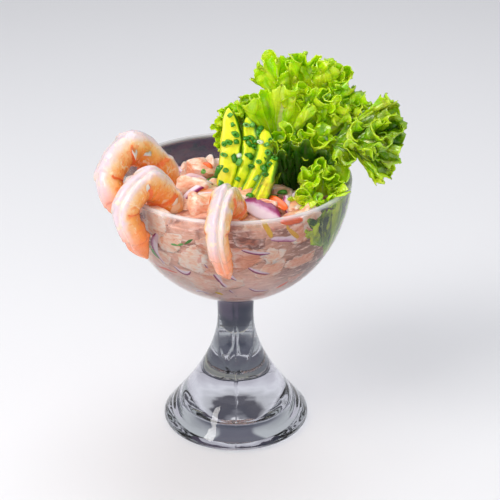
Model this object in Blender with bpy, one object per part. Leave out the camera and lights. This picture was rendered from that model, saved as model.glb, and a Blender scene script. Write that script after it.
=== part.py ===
"""Shrimp ceviche in a footed glass cup, one object for each separate piece.

The pieces are the cup, the marinated fish and onion mix that fills its bowl, three
shrimps hooked over the rim, five avocado slices and five frilly lettuce leaves.

Metres, +Z up, the table at z = 0 and the front towards -Y. Everything is laid out
about the cup's own axis and rides on one empty, which stands the whole over the
origin by the middle of its box.
"""

import math

import bmesh
import bpy
from mathutils import Vector

MM = 0.001

# The cup: a deep bowl on a solid waisted stem and a flared foot.
RIM_RADIUS = 53.0 * MM
CUP_HEIGHT = 126.6 * MM
BOWL_BOTTOM = 68.0 * MM
BOWL_CENTRE = 130.0 * MM
BOWL_FULLNESS = 2.1
WALL_AT_RIM = 2.7 * MM
BOWL_FLOOR = 73.5 * MM
NECK_RADIUS = 8.5 * MM
NECK_HEIGHT = 56.0 * MM
NECK_TOP = 66.0 * MM
NECK_PULL = 3.0 * MM
SHOULDER_WIDTH = 3.5 * MM
SHOULDER_RISE = 1.2 * MM
FLARE_PULL = (23.0 * MM, 18.0 * MM)
FLARE_TOP_PULL = 36.0 * MM
FOOT_RADIUS = 35.0 * MM
FOOT_BULGE = (0.9 * MM, 2.6 * MM)
FOOT_EDGE = 5.0 * MM
FOOT_EDGE_INSET = 1.4 * MM
FOOT_RING = 30.5 * MM
HOLLOW_RADIUS = 27.0 * MM
HOLLOW_SLOPE = 4.0 * MM
HOLLOW_DEPTH = 6.5 * MM
HOLLOW_DOME = 1.5 * MM
HOLLOW_ROUNDS = (0.0, 0.5, 0.85)
HOLLOW_WALL = ((0.2, 0.72), (0.55, 0.28))
CUP_SIDES = 36
BOWL_STEPS = 10
SHOULDER_SKIP = 3
FOOT_EDGE_STEPS = 4
FLARE_STEPS = 7
NECK_STEPS = 3
RIM_TURNS = (45, 90, 135)

# How far apart points are joined into one, and how sharp an edge stays unsmoothed.
MERGE_DISTANCE = 0.001 * MM
SHARP_ANGLE = 40

# The mix: a lumpy heap, high at the front and low at the back left.
MIX_GAP = 0.45 * MM
MIX_LEVEL = 117.0 * MM
MIX_SLOPE = 5.5 * MM
MIX_MOUND = 8.0 * MM
MIX_MOUND_AT = (-2.0 * MM, -6.0 * MM)
MIX_MOUND_SPREAD = 26.0 * MM
MIX_LUMPS = 1.3 * MM
MIX_LUMP_PITCH = 13.0 * MM
MIX_LUMP_PHASES = (0.7, 1.9, 0.4)
MIX_RINGS = 12
MIX_CLEARANCE = 1.2 * MM
MIX_REACH = 6.0 * MM

# The shrimps: half the height and half the width of the body where it is thickest.
SHRIMP_HALF_HEIGHT = 8.6 * MM
SHRIMP_HALF_WIDTH = 7.0 * MM
SHRIMP_SEGMENTS = 6
SHRIMP_SEGMENT_SWELL = 0.035
SHRIMP_NARROWING = 0.36
SHRIMP_CUT_ROUNDING = 0.06
SHRIMP_CUT_WIDTH = 0.35
SHRIMP_TAIL_SHARE = 0.15
SHRIMP_BELLY_NARROWING = 0.2
SHRIMP_BELLY_FLATTENING = 0.16
SHRIMP_RINGS = 25
SHRIMP_SIDES = 12

# The avocado slices: how wedge-shaped they are across and how blunt at their feet.
SLICE_WEDGE = 0.22
SLICE_BLUNTNESS = 0.55
SLICE_RINGS = 11
SLICE_SIDES = 10

# The lettuce leaves: their rays start a little way out of the point they fan from.
LEAF_THICKNESS = 1.2 * MM
LEAF_ROOT = 0.16
LEAF_SCALLOP = 0.05
LEAF_RUFFLE_GROWTH = 2.2
LEAF_BACKWARD_BEND = 0.6
LEAF_RAYS = 22
LEAF_STEPS = 4

# Each shrimp's girth, and its middle line from its thick cut end in the bowl, over the
# rim, to the tip of its tail outside. Places are (right, back, up) from the cup's
# axis, in mm.
SHRIMPS = {
    "shrimp_1": (1.06, (
        (-33.0, 3.5, 111),
        (-32.9, 1.0, 125.4),
        (-45.0, -8.5, 142.0),
        (-56.2, -18.2, 134.1),
        (-54.8, -23.6, 125.5),
        (-50.6, -26.6, 116.8),
    )),
    "shrimp_2": (1.0, (
        (-29.6, -19.5, 107),
        (-29.7, -22.5, 120.2),
        (-37.0, -31.0, 134.5),
        (-46.6, -39.8, 127.6),
        (-45.9, -40.2, 116.6),
        (-42.8, -37.4, 104.5),
    )),
    "shrimp_3": (0.95, (
        (2.1, -28.0, 106.7),
        (0.5, -32.6, 120.4),
        (-4.1, -45.9, 132.9),
        (-7.5, -61.0, 127.9),
        (-7.0, -59.4, 116.0),
        (-2.6, -52.6, 100.0),
    )),
}

# Each avocado slice: its foot, its top, how far its middle bows out, the way its flat
# face looks, its width and its thickness. Lengths are in mm.
AVOCADO_SLICES = (
    ((-4.4, -8, 124.8), (-2.5, 3, 155.8), (1.6, -1.5, -2), (-0.1, -1, 0.4), 9.0, 6.0),
    ((1.3, -13, 125.4), (5.7, 1, 152.2), (3.0, -1.5, -1), (0.1, -1, 0.3), 8.4, 5.5),
    ((4.5, -18, 124.7), (13.4, -4, 148.6), (3.2, 0.0, 2), (0.2, -1, 0.3), 7.2, 4.6),
    ((7.9, -23, 124.4), (17.7, -11, 138.4), (0.9, -0.9, 1), (0.3, -1, 0.3), 6.6, 4.2),
    ((10.6, -28.5, 124.7), (16.7, -18.5, 137.3), (-0.2, -1.6, 0), (0.3, -1, 0.3), 5.8, 4.4),
)

# Each lettuce leaf: the point where its rays start, the way its middle ray leans, the
# way its face looks, its reach along the middle ray, its half spread in degrees, how
# much shorter its outermost rays are, and how deep and how many the ruffles of its
# edge are.
LETTUCE_LEAVES = {
    "lettuce_leaf_1": dict(
        foot=(19, 13, 122), lean=(0.05, 0.14, 1), face=(0.0, -1, 0.2),
        reach=54, spread=50, shorter=0.42, ruffle=3.2, waves=6, cup=5,
    ),
    "lettuce_leaf_2": dict(
        foot=(34, 5, 126), lean=(0.24, 0.20, 1), face=(0.2, -1, 0.3),
        reach=46, spread=34, shorter=0.18, ruffle=3.0, waves=5, cup=4,
    ),
    "lettuce_leaf_3": dict(
        foot=(29.2, -3.4, 121), lean=(0.0, 0.10, 1), face=(0.1, -1, 0.1),
        reach=42, spread=36, shorter=0.20, ruffle=2.6, waves=5, cup=2,
    ),
    "lettuce_leaf_4": dict(
        foot=(43, -5, 135), lean=(1, -0.06, 0.50), face=(-0.3, -1, 0.5),
        reach=32, spread=46, shorter=0.10, ruffle=2.6, waves=6, cup=3,
    ),
    "lettuce_leaf_5": dict(
        foot=(33.5, -17.5, 113), lean=(0.10, -0.20, 1), face=(-0.1, -1, 0.3),
        reach=30, spread=34, shorter=0.16, ruffle=2.2, waves=5, cup=2,
    ),
}

COLOURS = {
    "cup": ((0.86, 0.90, 0.92, 1.0), 0.03),
    "mix": ((0.80, 0.47, 0.36, 1.0), 0.35),
    "shrimp": ((0.87, 0.56, 0.40, 1.0), 0.30),
    "avocado": ((0.72, 0.72, 0.10, 1.0), 0.45),
    "lettuce": ((0.33, 0.58, 0.03, 1.0), 0.45),
}


def clear_scene():
    """Take away whatever the file opened with."""
    for old in list(bpy.data.objects):
        bpy.data.objects.remove(old, do_unlink=True)


def material(slot):
    """The Principled material of a named slot."""
    found = bpy.data.materials.get(slot)
    if found:
        return found
    colour, roughness = COLOURS[slot]
    made = bpy.data.materials.new(slot)
    made.use_nodes = True
    shader = made.node_tree.nodes["Principled BSDF"]
    shader.inputs["Base Color"].default_value = colour
    shader.inputs["Roughness"].default_value = roughness
    shader.inputs["Metallic"].default_value = 0.0
    if slot == "cup":
        shader.inputs["Transmission Weight"].default_value = 1.0
    return made


def finish(name, mesh_builder, slot, stand):
    """Turn a bmesh into a smooth named object that rides on the stand."""
    bmesh.ops.remove_doubles(mesh_builder, verts=mesh_builder.verts, dist=MERGE_DISTANCE)
    bmesh.ops.triangulate(mesh_builder, faces=mesh_builder.faces)
    bmesh.ops.recalc_face_normals(mesh_builder, faces=mesh_builder.faces)
    mesh = bpy.data.meshes.new(name)
    mesh_builder.to_mesh(mesh)
    mesh_builder.free()
    mesh.materials.append(material(slot))
    mesh.shade_smooth()
    mesh.set_sharp_from_angle(angle=math.radians(SHARP_ANGLE))
    made = bpy.data.objects.new(name, mesh)
    made.parent = stand
    bpy.context.collection.objects.link(made)
    return made


def smooth_line(points, count):
    """Evenly numbered points on a smooth curve through the given ones."""
    ends = [points[0] * 2 - points[1], *points, points[-1] * 2 - points[-2]]
    line = []
    for step in range(count):
        place = step / (count - 1) * (len(points) - 1)
        first = min(int(place), len(points) - 2)
        t = place - first
        a, b, c, d = ends[first:first + 4]
        line.append(
            (b * 2 + (c - a) * t + (a * 2 - b * 5 + c * 4 - d) * t ** 2
             + (b * 3 - a - c * 3 + d) * t ** 3) / 2
        )
    return line


def rings_to_mesh(rings):
    """Join closed rings of points into one body, capped by a point at each end."""
    builder = bmesh.new()
    made = [[builder.verts.new(point) for point in ring] for ring in rings]
    for near, far in zip(made, made[1:]):
        for k in range(len(near)):
            nxt = (k + 1) % len(near)
            builder.faces.new((near[k], near[nxt], far[nxt], far[k]))
    for ring in (made[0], made[-1]):
        tip = builder.verts.new(sum((v.co for v in ring), Vector()) / len(ring))
        for k in range(len(ring)):
            builder.faces.new((ring[k], ring[(k + 1) % len(ring)], tip))
    return builder


def bowl_curve(rim, bottom, top, steps):
    """Points (radius, height) of the bowl's curve, from its bottom up to a height."""
    depth = BOWL_CENTRE - bottom
    power = 2 / BOWL_FULLNESS
    last = math.acos(((BOWL_CENTRE - top) / depth) ** (1 / power))
    curve = []
    for i in range(steps + 1):
        angle = last * i / steps
        curve.append((rim * math.sin(angle) ** power,
                      BOWL_CENTRE - depth * math.cos(angle) ** power))
    return curve


def mix_curve(top, steps=BOWL_STEPS):
    """The mix's side, a small gap inside the glass, up to a height."""
    return bowl_curve(RIM_RADIUS - WALL_AT_RIM - MIX_GAP, BOWL_FLOOR + MIX_GAP, top, steps)


def bezier(a, b, c, d, steps):
    """Points along a cubic Bezier curve, its last point included."""
    line = []
    for i in range(1, steps + 1):
        t = i / steps
        s = 1 - t
        line.append(tuple(
            a[k] * s ** 3 + 3 * b[k] * s * s * t + 3 * c[k] * s * t * t + d[k] * t ** 3
            for k in (0, 1)
        ))
    return line


def cup_profile():
    """Half outline of the cup as (radius, height), from under the foot to the floor."""
    inner = HOLLOW_RADIUS - HOLLOW_SLOPE
    outline = [(inner * part, HOLLOW_DEPTH + HOLLOW_DOME * (1 - part * part))
               for part in HOLLOW_ROUNDS]
    outline.append((inner, HOLLOW_DEPTH))
    outline += [(inner + HOLLOW_SLOPE * out, HOLLOW_DEPTH * up) for out, up in HOLLOW_WALL]
    outline += [(HOLLOW_RADIUS, 0.0), (FOOT_RING, 0.0)]
    edge = (FOOT_RADIUS - FOOT_EDGE_INSET, FOOT_EDGE)
    bulge = (FOOT_RADIUS + FOOT_BULGE[0], FOOT_BULGE[1])
    neck = (NECK_RADIUS, NECK_HEIGHT)
    shoulder = (NECK_RADIUS + SHOULDER_WIDTH, BOWL_BOTTOM + SHOULDER_RISE)
    outline += bezier((FOOT_RING, 0.0), (FOOT_RADIUS, 0.0), bulge, edge, FOOT_EDGE_STEPS)
    outline += bezier(edge, FLARE_PULL, (NECK_RADIUS, FLARE_TOP_PULL), neck, FLARE_STEPS)
    outline += bezier(neck, (NECK_RADIUS, NECK_TOP - NECK_PULL), (NECK_RADIUS, NECK_TOP),
                      shoulder, NECK_STEPS)
    half_wall = WALL_AT_RIM / 2
    under_rim = CUP_HEIGHT - half_wall
    outline += bowl_curve(RIM_RADIUS, BOWL_BOTTOM, under_rim, BOWL_STEPS)[SHOULDER_SKIP:]
    inside = bowl_curve(RIM_RADIUS - WALL_AT_RIM, BOWL_FLOOR, under_rim, BOWL_STEPS)
    middle = (outline[-1][0] + inside[-1][0]) / 2
    for angle in map(math.radians, RIM_TURNS):
        outline.append((middle + half_wall * math.cos(angle),
                        under_rim + half_wall * math.sin(angle)))
    return outline + inside[::-1]


def make_cup(stand):
    """Spin the cup's outline into one closed glass body."""
    builder = bmesh.new()
    chain = [builder.verts.new((radius, 0.0, height)) for radius, height in cup_profile()]
    edges = [builder.edges.new(pair) for pair in zip(chain, chain[1:])]
    bmesh.ops.spin(builder, geom=chain + edges, axis=(0, 0, 1), cent=(0, 0, 0),
                   angle=math.tau, steps=CUP_SIDES, use_merge=True)
    return finish("cup", builder, "cup", stand)


def shrimp_taper(t):
    """How thick a shrimp is at a fraction of its length, against its thickest part."""
    from_cut = 1 - min(t / SHRIMP_CUT_ROUNDING, 1.0)
    rounded_cut = min(1.0, math.sqrt(1 - from_cut ** 2) + SHRIMP_CUT_WIDTH)
    body = 1 - SHRIMP_NARROWING * t ** 1.3
    tail = min(1.0, ((1.015 - t) / SHRIMP_TAIL_SHARE) ** 0.75)
    return rounded_cut * body * tail


def make_shrimp(name, girth, points, stand):
    """A peeled shrimp bent along its middle line, its back on the outside."""
    points = [Vector(point) * MM for point in points]
    line = smooth_line(points, SHRIMP_RINGS)
    across = (points[1] - points[2]).cross(points[3] - points[2]).normalized()
    rings = []
    for i, middle in enumerate(line):
        t = i / (SHRIMP_RINGS - 1)
        along = (line[min(i + 1, SHRIMP_RINGS - 1)] - line[max(i - 1, 0)]).normalized()
        back = across.cross(along).normalized()
        side = along.cross(back)
        swell = 1 + SHRIMP_SEGMENT_SWELL * abs(math.sin(math.pi * SHRIMP_SEGMENTS * t))
        thick = girth * shrimp_taper(t) * swell
        ring = []
        for k in range(SHRIMP_SIDES):
            angle = math.tau * k / SHRIMP_SIDES
            belly = max(0.0, -math.sin(angle))
            narrowing = 1 - SHRIMP_BELLY_NARROWING * belly
            flattening = 1 - SHRIMP_BELLY_FLATTENING * belly
            ring.append(
                middle
                + side * (SHRIMP_HALF_WIDTH * thick * narrowing * math.cos(angle))
                + back * (SHRIMP_HALF_HEIGHT * thick * flattening * math.sin(angle))
            )
        rings.append(ring)
    return finish(name, rings_to_mesh(rings), "shrimp", stand)


def make_slice(name, foot, top, bow, face, width, thickness, stand):
    """An avocado slice: a bowed wedge with a thick outer edge and a thin inner one."""
    foot, top = Vector(foot) * MM, Vector(top) * MM
    middle = (foot + top) / 2 + Vector(bow) * MM
    line = smooth_line([foot, middle, top], SLICE_RINGS)
    rings = []
    for i, place in enumerate(line):
        t = i / (SLICE_RINGS - 1)
        along = (line[min(i + 1, SLICE_RINGS - 1)] - line[max(i - 1, 0)]).normalized()
        broad = Vector(face).cross(along).normalized()
        flat = along.cross(broad)
        fullness = (1 - (2 * t - 0.75) ** 4 / 3.2) * min(1.0, SLICE_BLUNTNESS + 6 * t)
        ring = []
        for k in range(SLICE_SIDES):
            angle = math.tau * k / SLICE_SIDES
            wedge = 1 + SLICE_WEDGE * math.cos(angle)
            ring.append(
                place
                + broad * (width / 2 * MM * fullness * math.cos(angle))
                + flat * (thickness / 2 * MM * fullness * wedge * math.sin(angle))
            )
        rings.append(ring)
    return finish(name, rings_to_mesh(rings), "avocado", stand)


def make_leaf(name, stand, foot, lean, face, reach, spread, shorter, ruffle, waves,
              cup):
    """A frilly leaf: rays that fan out of its foot, ruffled more and more outwards."""
    foot = Vector(foot) * MM
    lean = Vector(lean).normalized()
    side = lean.cross(Vector(face)).normalized()
    face = side.cross(lean)
    builder = bmesh.new()
    sides = []
    for offset in (-0.5, 0.5):
        sheet = []
        for i in range(LEAF_RAYS + 1):
            u = 2 * i / LEAF_RAYS - 1
            turn = math.radians(spread) * u
            ray = lean * math.cos(turn) + side * math.sin(turn)
            scallop = LEAF_SCALLOP * math.cos(waves * 2.3 * u)
            edge = 1 - shorter * abs(u) ** 1.5 + scallop
            column = []
            for j in range(LEAF_STEPS + 1):
                v = LEAF_ROOT + (1 - LEAF_ROOT) * j / LEAF_STEPS
                wave = ruffle * v ** LEAF_RUFFLE_GROWTH * math.sin(math.pi * waves * u + 0.6)
                bend = cup * (u * u * v - LEAF_BACKWARD_BEND * v * v)
                rise = (wave + bend) * MM + offset * LEAF_THICKNESS
                column.append(builder.verts.new(foot + ray * (reach * MM * edge * v)
                                                + face * rise))
            sheet.append(column)
        sides.append(sheet)
    back, front = sides
    for i in range(LEAF_RAYS):
        for j in range(LEAF_STEPS):
            for sheet in sides:
                builder.faces.new((sheet[i][j], sheet[i + 1][j],
                                   sheet[i + 1][j + 1], sheet[i][j + 1]))
        for j in (0, LEAF_STEPS):
            builder.faces.new((back[i][j], back[i + 1][j], front[i + 1][j], front[i][j]))
    for i in (0, LEAF_RAYS):
        for j in range(LEAF_STEPS):
            builder.faces.new((back[i][j], back[i][j + 1], front[i][j + 1], front[i][j]))
    return finish(name, builder, "lettuce", stand)


def free_height(x, y):
    """Height of the mix's own lumpy surface, before anything is set on it."""
    mound_x, mound_y = MIX_MOUND_AT
    away = ((x - mound_x) ** 2 + (y - mound_y) ** 2) / MIX_MOUND_SPREAD ** 2
    turn = math.tau / MIX_LUMP_PITCH
    phase_x, phase_y, phase_both = MIX_LUMP_PHASES
    lumps = math.sin(turn * x + phase_x) * math.sin(turn * y * 0.9 + phase_y)
    lumps += 0.6 * math.sin(turn * 1.6 * (x + y) + phase_both)
    slope = -MIX_SLOPE * y / RIM_RADIUS
    return MIX_LEVEL + slope + MIX_MOUND * math.exp(-away) + MIX_LUMPS * lumps


def make_mix(toppings, stand):
    """The heap in the bowl, hollowed under everything that sits on it."""
    low = [vertex.co for topping in toppings for vertex in topping.data.vertices
           if vertex.co.z < CUP_HEIGHT + 10 * MM]

    def height(x, y):
        """Surface height, kept under every topping within a short reach."""
        level = free_height(x, y)
        for point in low:
            if (point.x - x) ** 2 + (point.y - y) ** 2 < MIX_REACH ** 2:
                level = min(level, point.z - MIX_CLEARANCE)
        return level

    builder = bmesh.new()
    wall, top = [], []
    for k in range(CUP_SIDES):
        angle = math.tau * k / CUP_SIDES
        away = Vector((math.cos(angle), math.sin(angle), 0))
        edge = away * mix_curve(MIX_LEVEL)[-1][0]
        for _ in range(4):
            level = height(edge.x, edge.y)
            edge = away * mix_curve(level)[-1][0]
        column = [builder.verts.new(away * radius + Vector((0, 0, z)))
                  for radius, z in mix_curve(level)[1:]]
        wall.append(column)
        row = [column[-1]]
        for ring in range(MIX_RINGS - 1, 0, -1):
            spot = edge * (ring / MIX_RINGS)
            row.append(builder.verts.new((spot.x, spot.y, height(spot.x, spot.y))))
        top.append(row)
    centre = builder.verts.new((0, 0, height(0, 0)))
    base = builder.verts.new((0, 0, BOWL_FLOOR + MIX_GAP))
    for k in range(CUP_SIDES):
        nxt = (k + 1) % CUP_SIDES
        for rows in (wall, top):
            near, far = rows[k], rows[nxt]
            for j in range(len(near) - 1):
                builder.faces.new((near[j], far[j], far[j + 1], near[j + 1]))
        builder.faces.new((top[k][-1], top[nxt][-1], centre))
        builder.faces.new((wall[nxt][0], wall[k][0], base))
    return finish("ceviche_mix", builder, "mix", stand)


def centre_on_origin(pieces, stand):
    """Move the stand so that the whole's box stands over the origin."""
    corners = [vertex.co for piece in pieces for vertex in piece.data.vertices]
    for axis in (0, 1):
        values = [corner[axis] for corner in corners]
        stand.location[axis] = -(min(values) + max(values)) / 2
    stand.location.z = -min(corner.z for corner in corners)


def main():
    """Build every piece and set the whole over the origin."""
    clear_scene()
    stand = bpy.data.objects.new("stand", None)
    bpy.context.collection.objects.link(stand)
    toppings = [make_shrimp(name, *sizes, stand) for name, sizes in SHRIMPS.items()]
    for number, sizes in enumerate(AVOCADO_SLICES, start=1):
        toppings.append(make_slice(f"avocado_slice_{number}", *sizes, stand))
    for name, sizes in LETTUCE_LEAVES.items():
        toppings.append(make_leaf(name, stand, **sizes))
    pieces = [make_cup(stand), make_mix(toppings, stand), *toppings]
    centre_on_origin(pieces, stand)
    bpy.context.view_layer.update()


main()
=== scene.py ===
"""A shrimp ceviche in a footed glass cup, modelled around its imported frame.

The cup is filled with fish and onion in a milky juice. Three shrimps hook over its
rim, five avocado slices strewn with chives lean at the back and frilly lettuce stands
to the right. Sizes are in millimetres from the cup's own axis on the table: across to
the right, back, and up. They become metres in the frame when a piece is settled.
"""

import logging
import math
from dataclasses import dataclass, field
from enum import Enum
from typing import Callable, Iterable, Optional, Sequence, Union

import bpy
import numpy as np
from mathutils import Euler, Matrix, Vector

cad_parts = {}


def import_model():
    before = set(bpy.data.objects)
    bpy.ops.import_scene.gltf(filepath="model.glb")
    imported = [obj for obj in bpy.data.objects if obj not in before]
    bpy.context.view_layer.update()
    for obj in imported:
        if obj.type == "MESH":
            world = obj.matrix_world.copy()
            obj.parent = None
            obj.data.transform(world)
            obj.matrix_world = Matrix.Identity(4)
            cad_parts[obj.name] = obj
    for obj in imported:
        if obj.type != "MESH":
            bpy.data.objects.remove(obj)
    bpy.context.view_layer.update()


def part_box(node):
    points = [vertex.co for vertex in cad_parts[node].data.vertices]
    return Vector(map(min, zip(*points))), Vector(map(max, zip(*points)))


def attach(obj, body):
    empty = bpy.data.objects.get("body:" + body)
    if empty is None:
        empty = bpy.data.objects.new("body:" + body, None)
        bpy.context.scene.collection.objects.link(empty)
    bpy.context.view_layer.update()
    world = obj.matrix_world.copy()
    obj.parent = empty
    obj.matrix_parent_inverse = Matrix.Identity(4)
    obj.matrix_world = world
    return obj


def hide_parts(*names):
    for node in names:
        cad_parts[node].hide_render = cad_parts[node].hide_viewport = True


LOG = logging.getLogger("ceviche")
MM = 0.001
BODY = "root"
Array = np.ndarray
Piece = bpy.types.Object
Material = bpy.types.Material
Point = tuple[float, float, float]
Line = Sequence[tuple[float, ...]]
Chance = np.random.Generator
Numbers = Union[float, Array]
EYE: Point = (0, -604.1, 379.4)


class Slot(Enum):
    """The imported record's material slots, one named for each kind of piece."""

    GLASS = "glass"
    MIX = "marinated_mix"
    SHRIMP = "shrimp"
    AVOCADO = "avocado"
    LETTUCE = "lettuce"
    ONION = "red_onion"
    PEPPER = "pepper"
    CHIVES = "chives"


# --- Shaping ---


def ease(value: Array, start: float, end: float) -> Array:
    """A smooth step, from 0 for values up to start to 1 for values from end on."""
    part = np.clip((value - start) / (end - start), 0, 1)
    return part * part * (3 - 2 * part)


def unit(vectors: Array) -> Array:
    """Vectors, with x, y and z on the last axis, scaled to a length of 1."""
    length = np.linalg.norm(vectors, axis=-1, keepdims=True)
    return vectors / np.maximum(length, 1e-9)


def smooth_line(points: Line, at: Array) -> Array:
    """Places on a smooth curve through the given points.

    Args:
        points: The points that the curve passes through.
        at: Where along the curve, from 0 at the first point to 1 at the last.

    Returns:
        One place for each number in at.
    """
    knots = np.array(points, float)
    ends = np.vstack([2 * knots[0] - knots[1], knots, 2 * knots[-1] - knots[-2]])
    place = np.clip(at, 0, 1) * (len(knots) - 1)
    first = np.minimum(place.astype(int), len(knots) - 2)
    t = (place - first)[..., None]
    a, b, c, d = (ends[first + k] for k in range(4))
    return (2 * b + (c - a) * t + (2 * a - 5 * b + 4 * c - d) * t ** 2
            + (3 * b - a - 3 * c + d) * t ** 3) / 2


def follow(points: Line, at: Array, step: float) -> tuple[Array, Array]:
    """Places on a smooth curve, and the unit directions along it over a step each way."""
    ahead = smooth_line(points, at + step) - smooth_line(points, at - step)
    return smooth_line(points, at), unit(ahead)


def squared(turn: Array, power: float) -> tuple[Array, Array]:
    """Points around a circle that a power below 1 swells towards a square."""
    c, s = np.cos(turn), np.sin(turn)
    return np.sign(c) * np.abs(c) ** power, np.sign(s) * np.abs(s) ** power


class Unevenness:
    """Smooth random unevenness in space, the same at every run."""

    SIDE = 32

    def __init__(self, seed: int) -> None:
        """Fill a block with the random numbers of a seed."""
        self.block = np.random.default_rng(seed).uniform(-1, 1, (self.SIDE,) * 3)

    def at(self, places: Array, pitch: float) -> Array:
        """Read the unevenness at some places.

        Args:
            places: Points, x, y and z on the last axis.
            pitch: The size of one bump, in the same unit.

        Returns:
            Numbers from -1 to 1, one for each place.
        """
        spot = np.asarray(places, float) / pitch
        low = np.floor(spot).astype(int)
        part = spot - low
        part = part * part * (3 - 2 * part)
        total = np.zeros(spot.shape[:-1])
        for corner in np.ndindex(2, 2, 2):
            index = tuple(((low + corner) % self.SIDE)[..., k] for k in range(3))
            share = np.prod(np.where(corner, part, 1 - part), axis=-1)
            total += self.block[index] * share
        return total


class Bench:
    """Wraps the modelling operators, and knows where the cup's axis stands."""

    def __init__(self, cup_node: str) -> None:
        """Find the axis in the middle of the cup's node in the frame."""
        low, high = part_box(cup_node)
        self.axis = np.array([(low.x + high.x) / 2, (low.y + high.y) / 2, 0])

    def metres(self, places: Array) -> Array:
        """Turn millimetres from the cup's axis into metres in the frame."""
        return np.asarray(places, float) * MM + self.axis

    @staticmethod
    def clear_hands() -> None:
        """Leave edit mode and let go of everything that is selected."""
        if bpy.context.object and bpy.context.object.mode != "OBJECT":
            bpy.ops.object.mode_set(mode="OBJECT")
        bpy.ops.object.select_all(action="DESELECT")

    def pick(self, *pieces: Piece) -> None:
        """Select pieces alone and make the first the active one."""
        self.clear_hands()
        for piece in pieces:
            piece.select_set(True)
        bpy.context.view_layer.objects.active = pieces[0]

    def start(self, name: str, add: Callable[..., object], **sizes: object) -> Piece:
        """Start a piece from a primitive alone.

        Args:
            name: The piece's name.
            add: The operator that adds the primitive.
            sizes: Its settings.

        Returns:
            The piece.
        """
        self.clear_hands()
        add(**sizes)
        bpy.context.object.name = name
        return bpy.context.object

    def ball(self, name: str, around: int, along: int) -> tuple[Piece, Array, Array]:
        """Start a closed piece from a ball.

        Args:
            name: The piece's name.
            around: Faces around each ring.
            along: Rings of faces from pole to pole.

        Returns:
            A ball, each point's part of the way from the lower pole to the upper one, 0 to
            1, and its turn about the axis.
        """
        piece = self.start(name, bpy.ops.mesh.primitive_uv_sphere_add, segments=around,
                           ring_count=along, radius=1)
        raw = self.read(piece)
        part = np.arccos(np.clip(-raw[:, 2], -1, 1)) / math.pi
        return piece, part, np.arctan2(raw[:, 1], raw[:, 0])

    def sheet(self, name: str, across: int, along: int) -> Piece:
        """Start a thin piece from a square grid, -1 to 1, cut across and along."""
        return self.start(name, bpy.ops.mesh.primitive_grid_add, x_subdivisions=across,
                          y_subdivisions=along, size=2)

    def block(self, name: str, cuts: int) -> Piece:
        """Start a chunky piece from a cube, -1 to 1, with some cuts along each side."""
        piece = self.start(name, bpy.ops.mesh.primitive_cube_add, size=2)
        bpy.ops.object.mode_set(mode="EDIT")
        bpy.ops.mesh.select_all(action="SELECT")
        bpy.ops.mesh.subdivide(number_cuts=cuts)
        bpy.ops.object.mode_set(mode="OBJECT")
        return piece

    def lathe(self, name: str, outline: Line, steps: int) -> Piece:
        """Spin an outline that starts and ends on the cup's axis.

        Args:
            name: The piece's name.
            outline: Radius and height of each point, in millimetres.
            steps: Faces around.

        Returns:
            The closed body, in its place.
        """
        centre = self.metres(np.zeros(3))
        piece = self.start(name, bpy.ops.mesh.primitive_circle_add, vertices=len(outline),
                           radius=0.05, location=centre)
        bpy.ops.object.transform_apply(location=True)
        self.settle(piece, [(radius, 0, height) for radius, height in outline])
        bpy.ops.object.mode_set(mode="EDIT")
        bpy.ops.mesh.select_mode(type="EDGE")
        bpy.ops.object.mode_set(mode="OBJECT")
        for edge in piece.data.edges:
            edge.select = set(edge.vertices) == {0, len(outline) - 1}
        bpy.ops.object.mode_set(mode="EDIT")
        bpy.ops.mesh.delete(type="EDGE")
        bpy.ops.mesh.select_mode(type="VERT")
        bpy.ops.mesh.select_all(action="SELECT")
        bpy.ops.mesh.spin(steps=steps, angle=math.tau, center=centre, axis=(0, 0, 1))
        bpy.ops.mesh.select_all(action="SELECT")
        bpy.ops.mesh.remove_doubles(threshold=0.00001)
        bpy.ops.mesh.normals_make_consistent(inside=False)
        bpy.ops.object.mode_set(mode="OBJECT")
        return piece

    @staticmethod
    def read(piece: Piece) -> Array:
        """The piece's points, one row for each."""
        flat = np.zeros(len(piece.data.vertices) * 3, np.float32)
        piece.data.vertices.foreach_get("co", flat)
        return flat.reshape(-1, 3).astype(float)

    def settle(self, piece: Piece, places: Array) -> None:
        """Move the piece's points to places in millimetres from the cup's axis."""
        piece.data.vertices.foreach_set("co", self.metres(places).astype(np.float32).ravel())
        piece.data.update()

    @staticmethod
    def mark(piece: Piece, **facts: object) -> None:
        """Store numbers on the points for the piece's finish to read.

        Args:
            piece: The piece.
            facts: A number for each point, or one for all, by name.
        """
        for name, values in facts.items():
            spread = np.broadcast_to(values, len(piece.data.vertices))
            layer = piece.data.attributes.new(name, "FLOAT", "POINT")
            layer.data.foreach_set("value", np.array(spread, np.float32))

    @staticmethod
    def copy(piece: Piece, name: str) -> Piece:
        """A copy of a piece with its own mesh."""
        twin = piece.copy()
        twin.data = piece.data.copy()
        twin.name = name
        bpy.context.collection.objects.link(twin)
        return twin

    def hand_in(self, name: str, pieces: Sequence[Piece], slot: Slot, finish: Material,
                *nodes: str) -> Piece:
        """Join bits into a finished piece, dress it and tie it to the frame.

        Args:
            name: The piece's name.
            pieces: The bits.
            slot: The record's slot named for the piece; not used.
            finish: Its material.
            nodes: The frame's nodes that it stands for.

        Returns:
            The piece.
        """
        self.pick(*pieces)
        if len(pieces) > 1:
            bpy.ops.object.join()
        bpy.ops.object.shade_smooth()
        piece = pieces[0]
        piece.name = piece.data.name = name
        piece.data.materials.clear()
        piece.data.materials.append(finish)
        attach(piece, BODY)
        if nodes:
            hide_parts(*nodes)
        LOG.info("%s: %d faces", piece.name, len(piece.data.polygons))
        return piece


# --- Finishes ---


Colour = tuple[int, int, int]
Stops = tuple[tuple[float, int, int, int], ...]
Socket = bpy.types.NodeSocket


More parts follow.
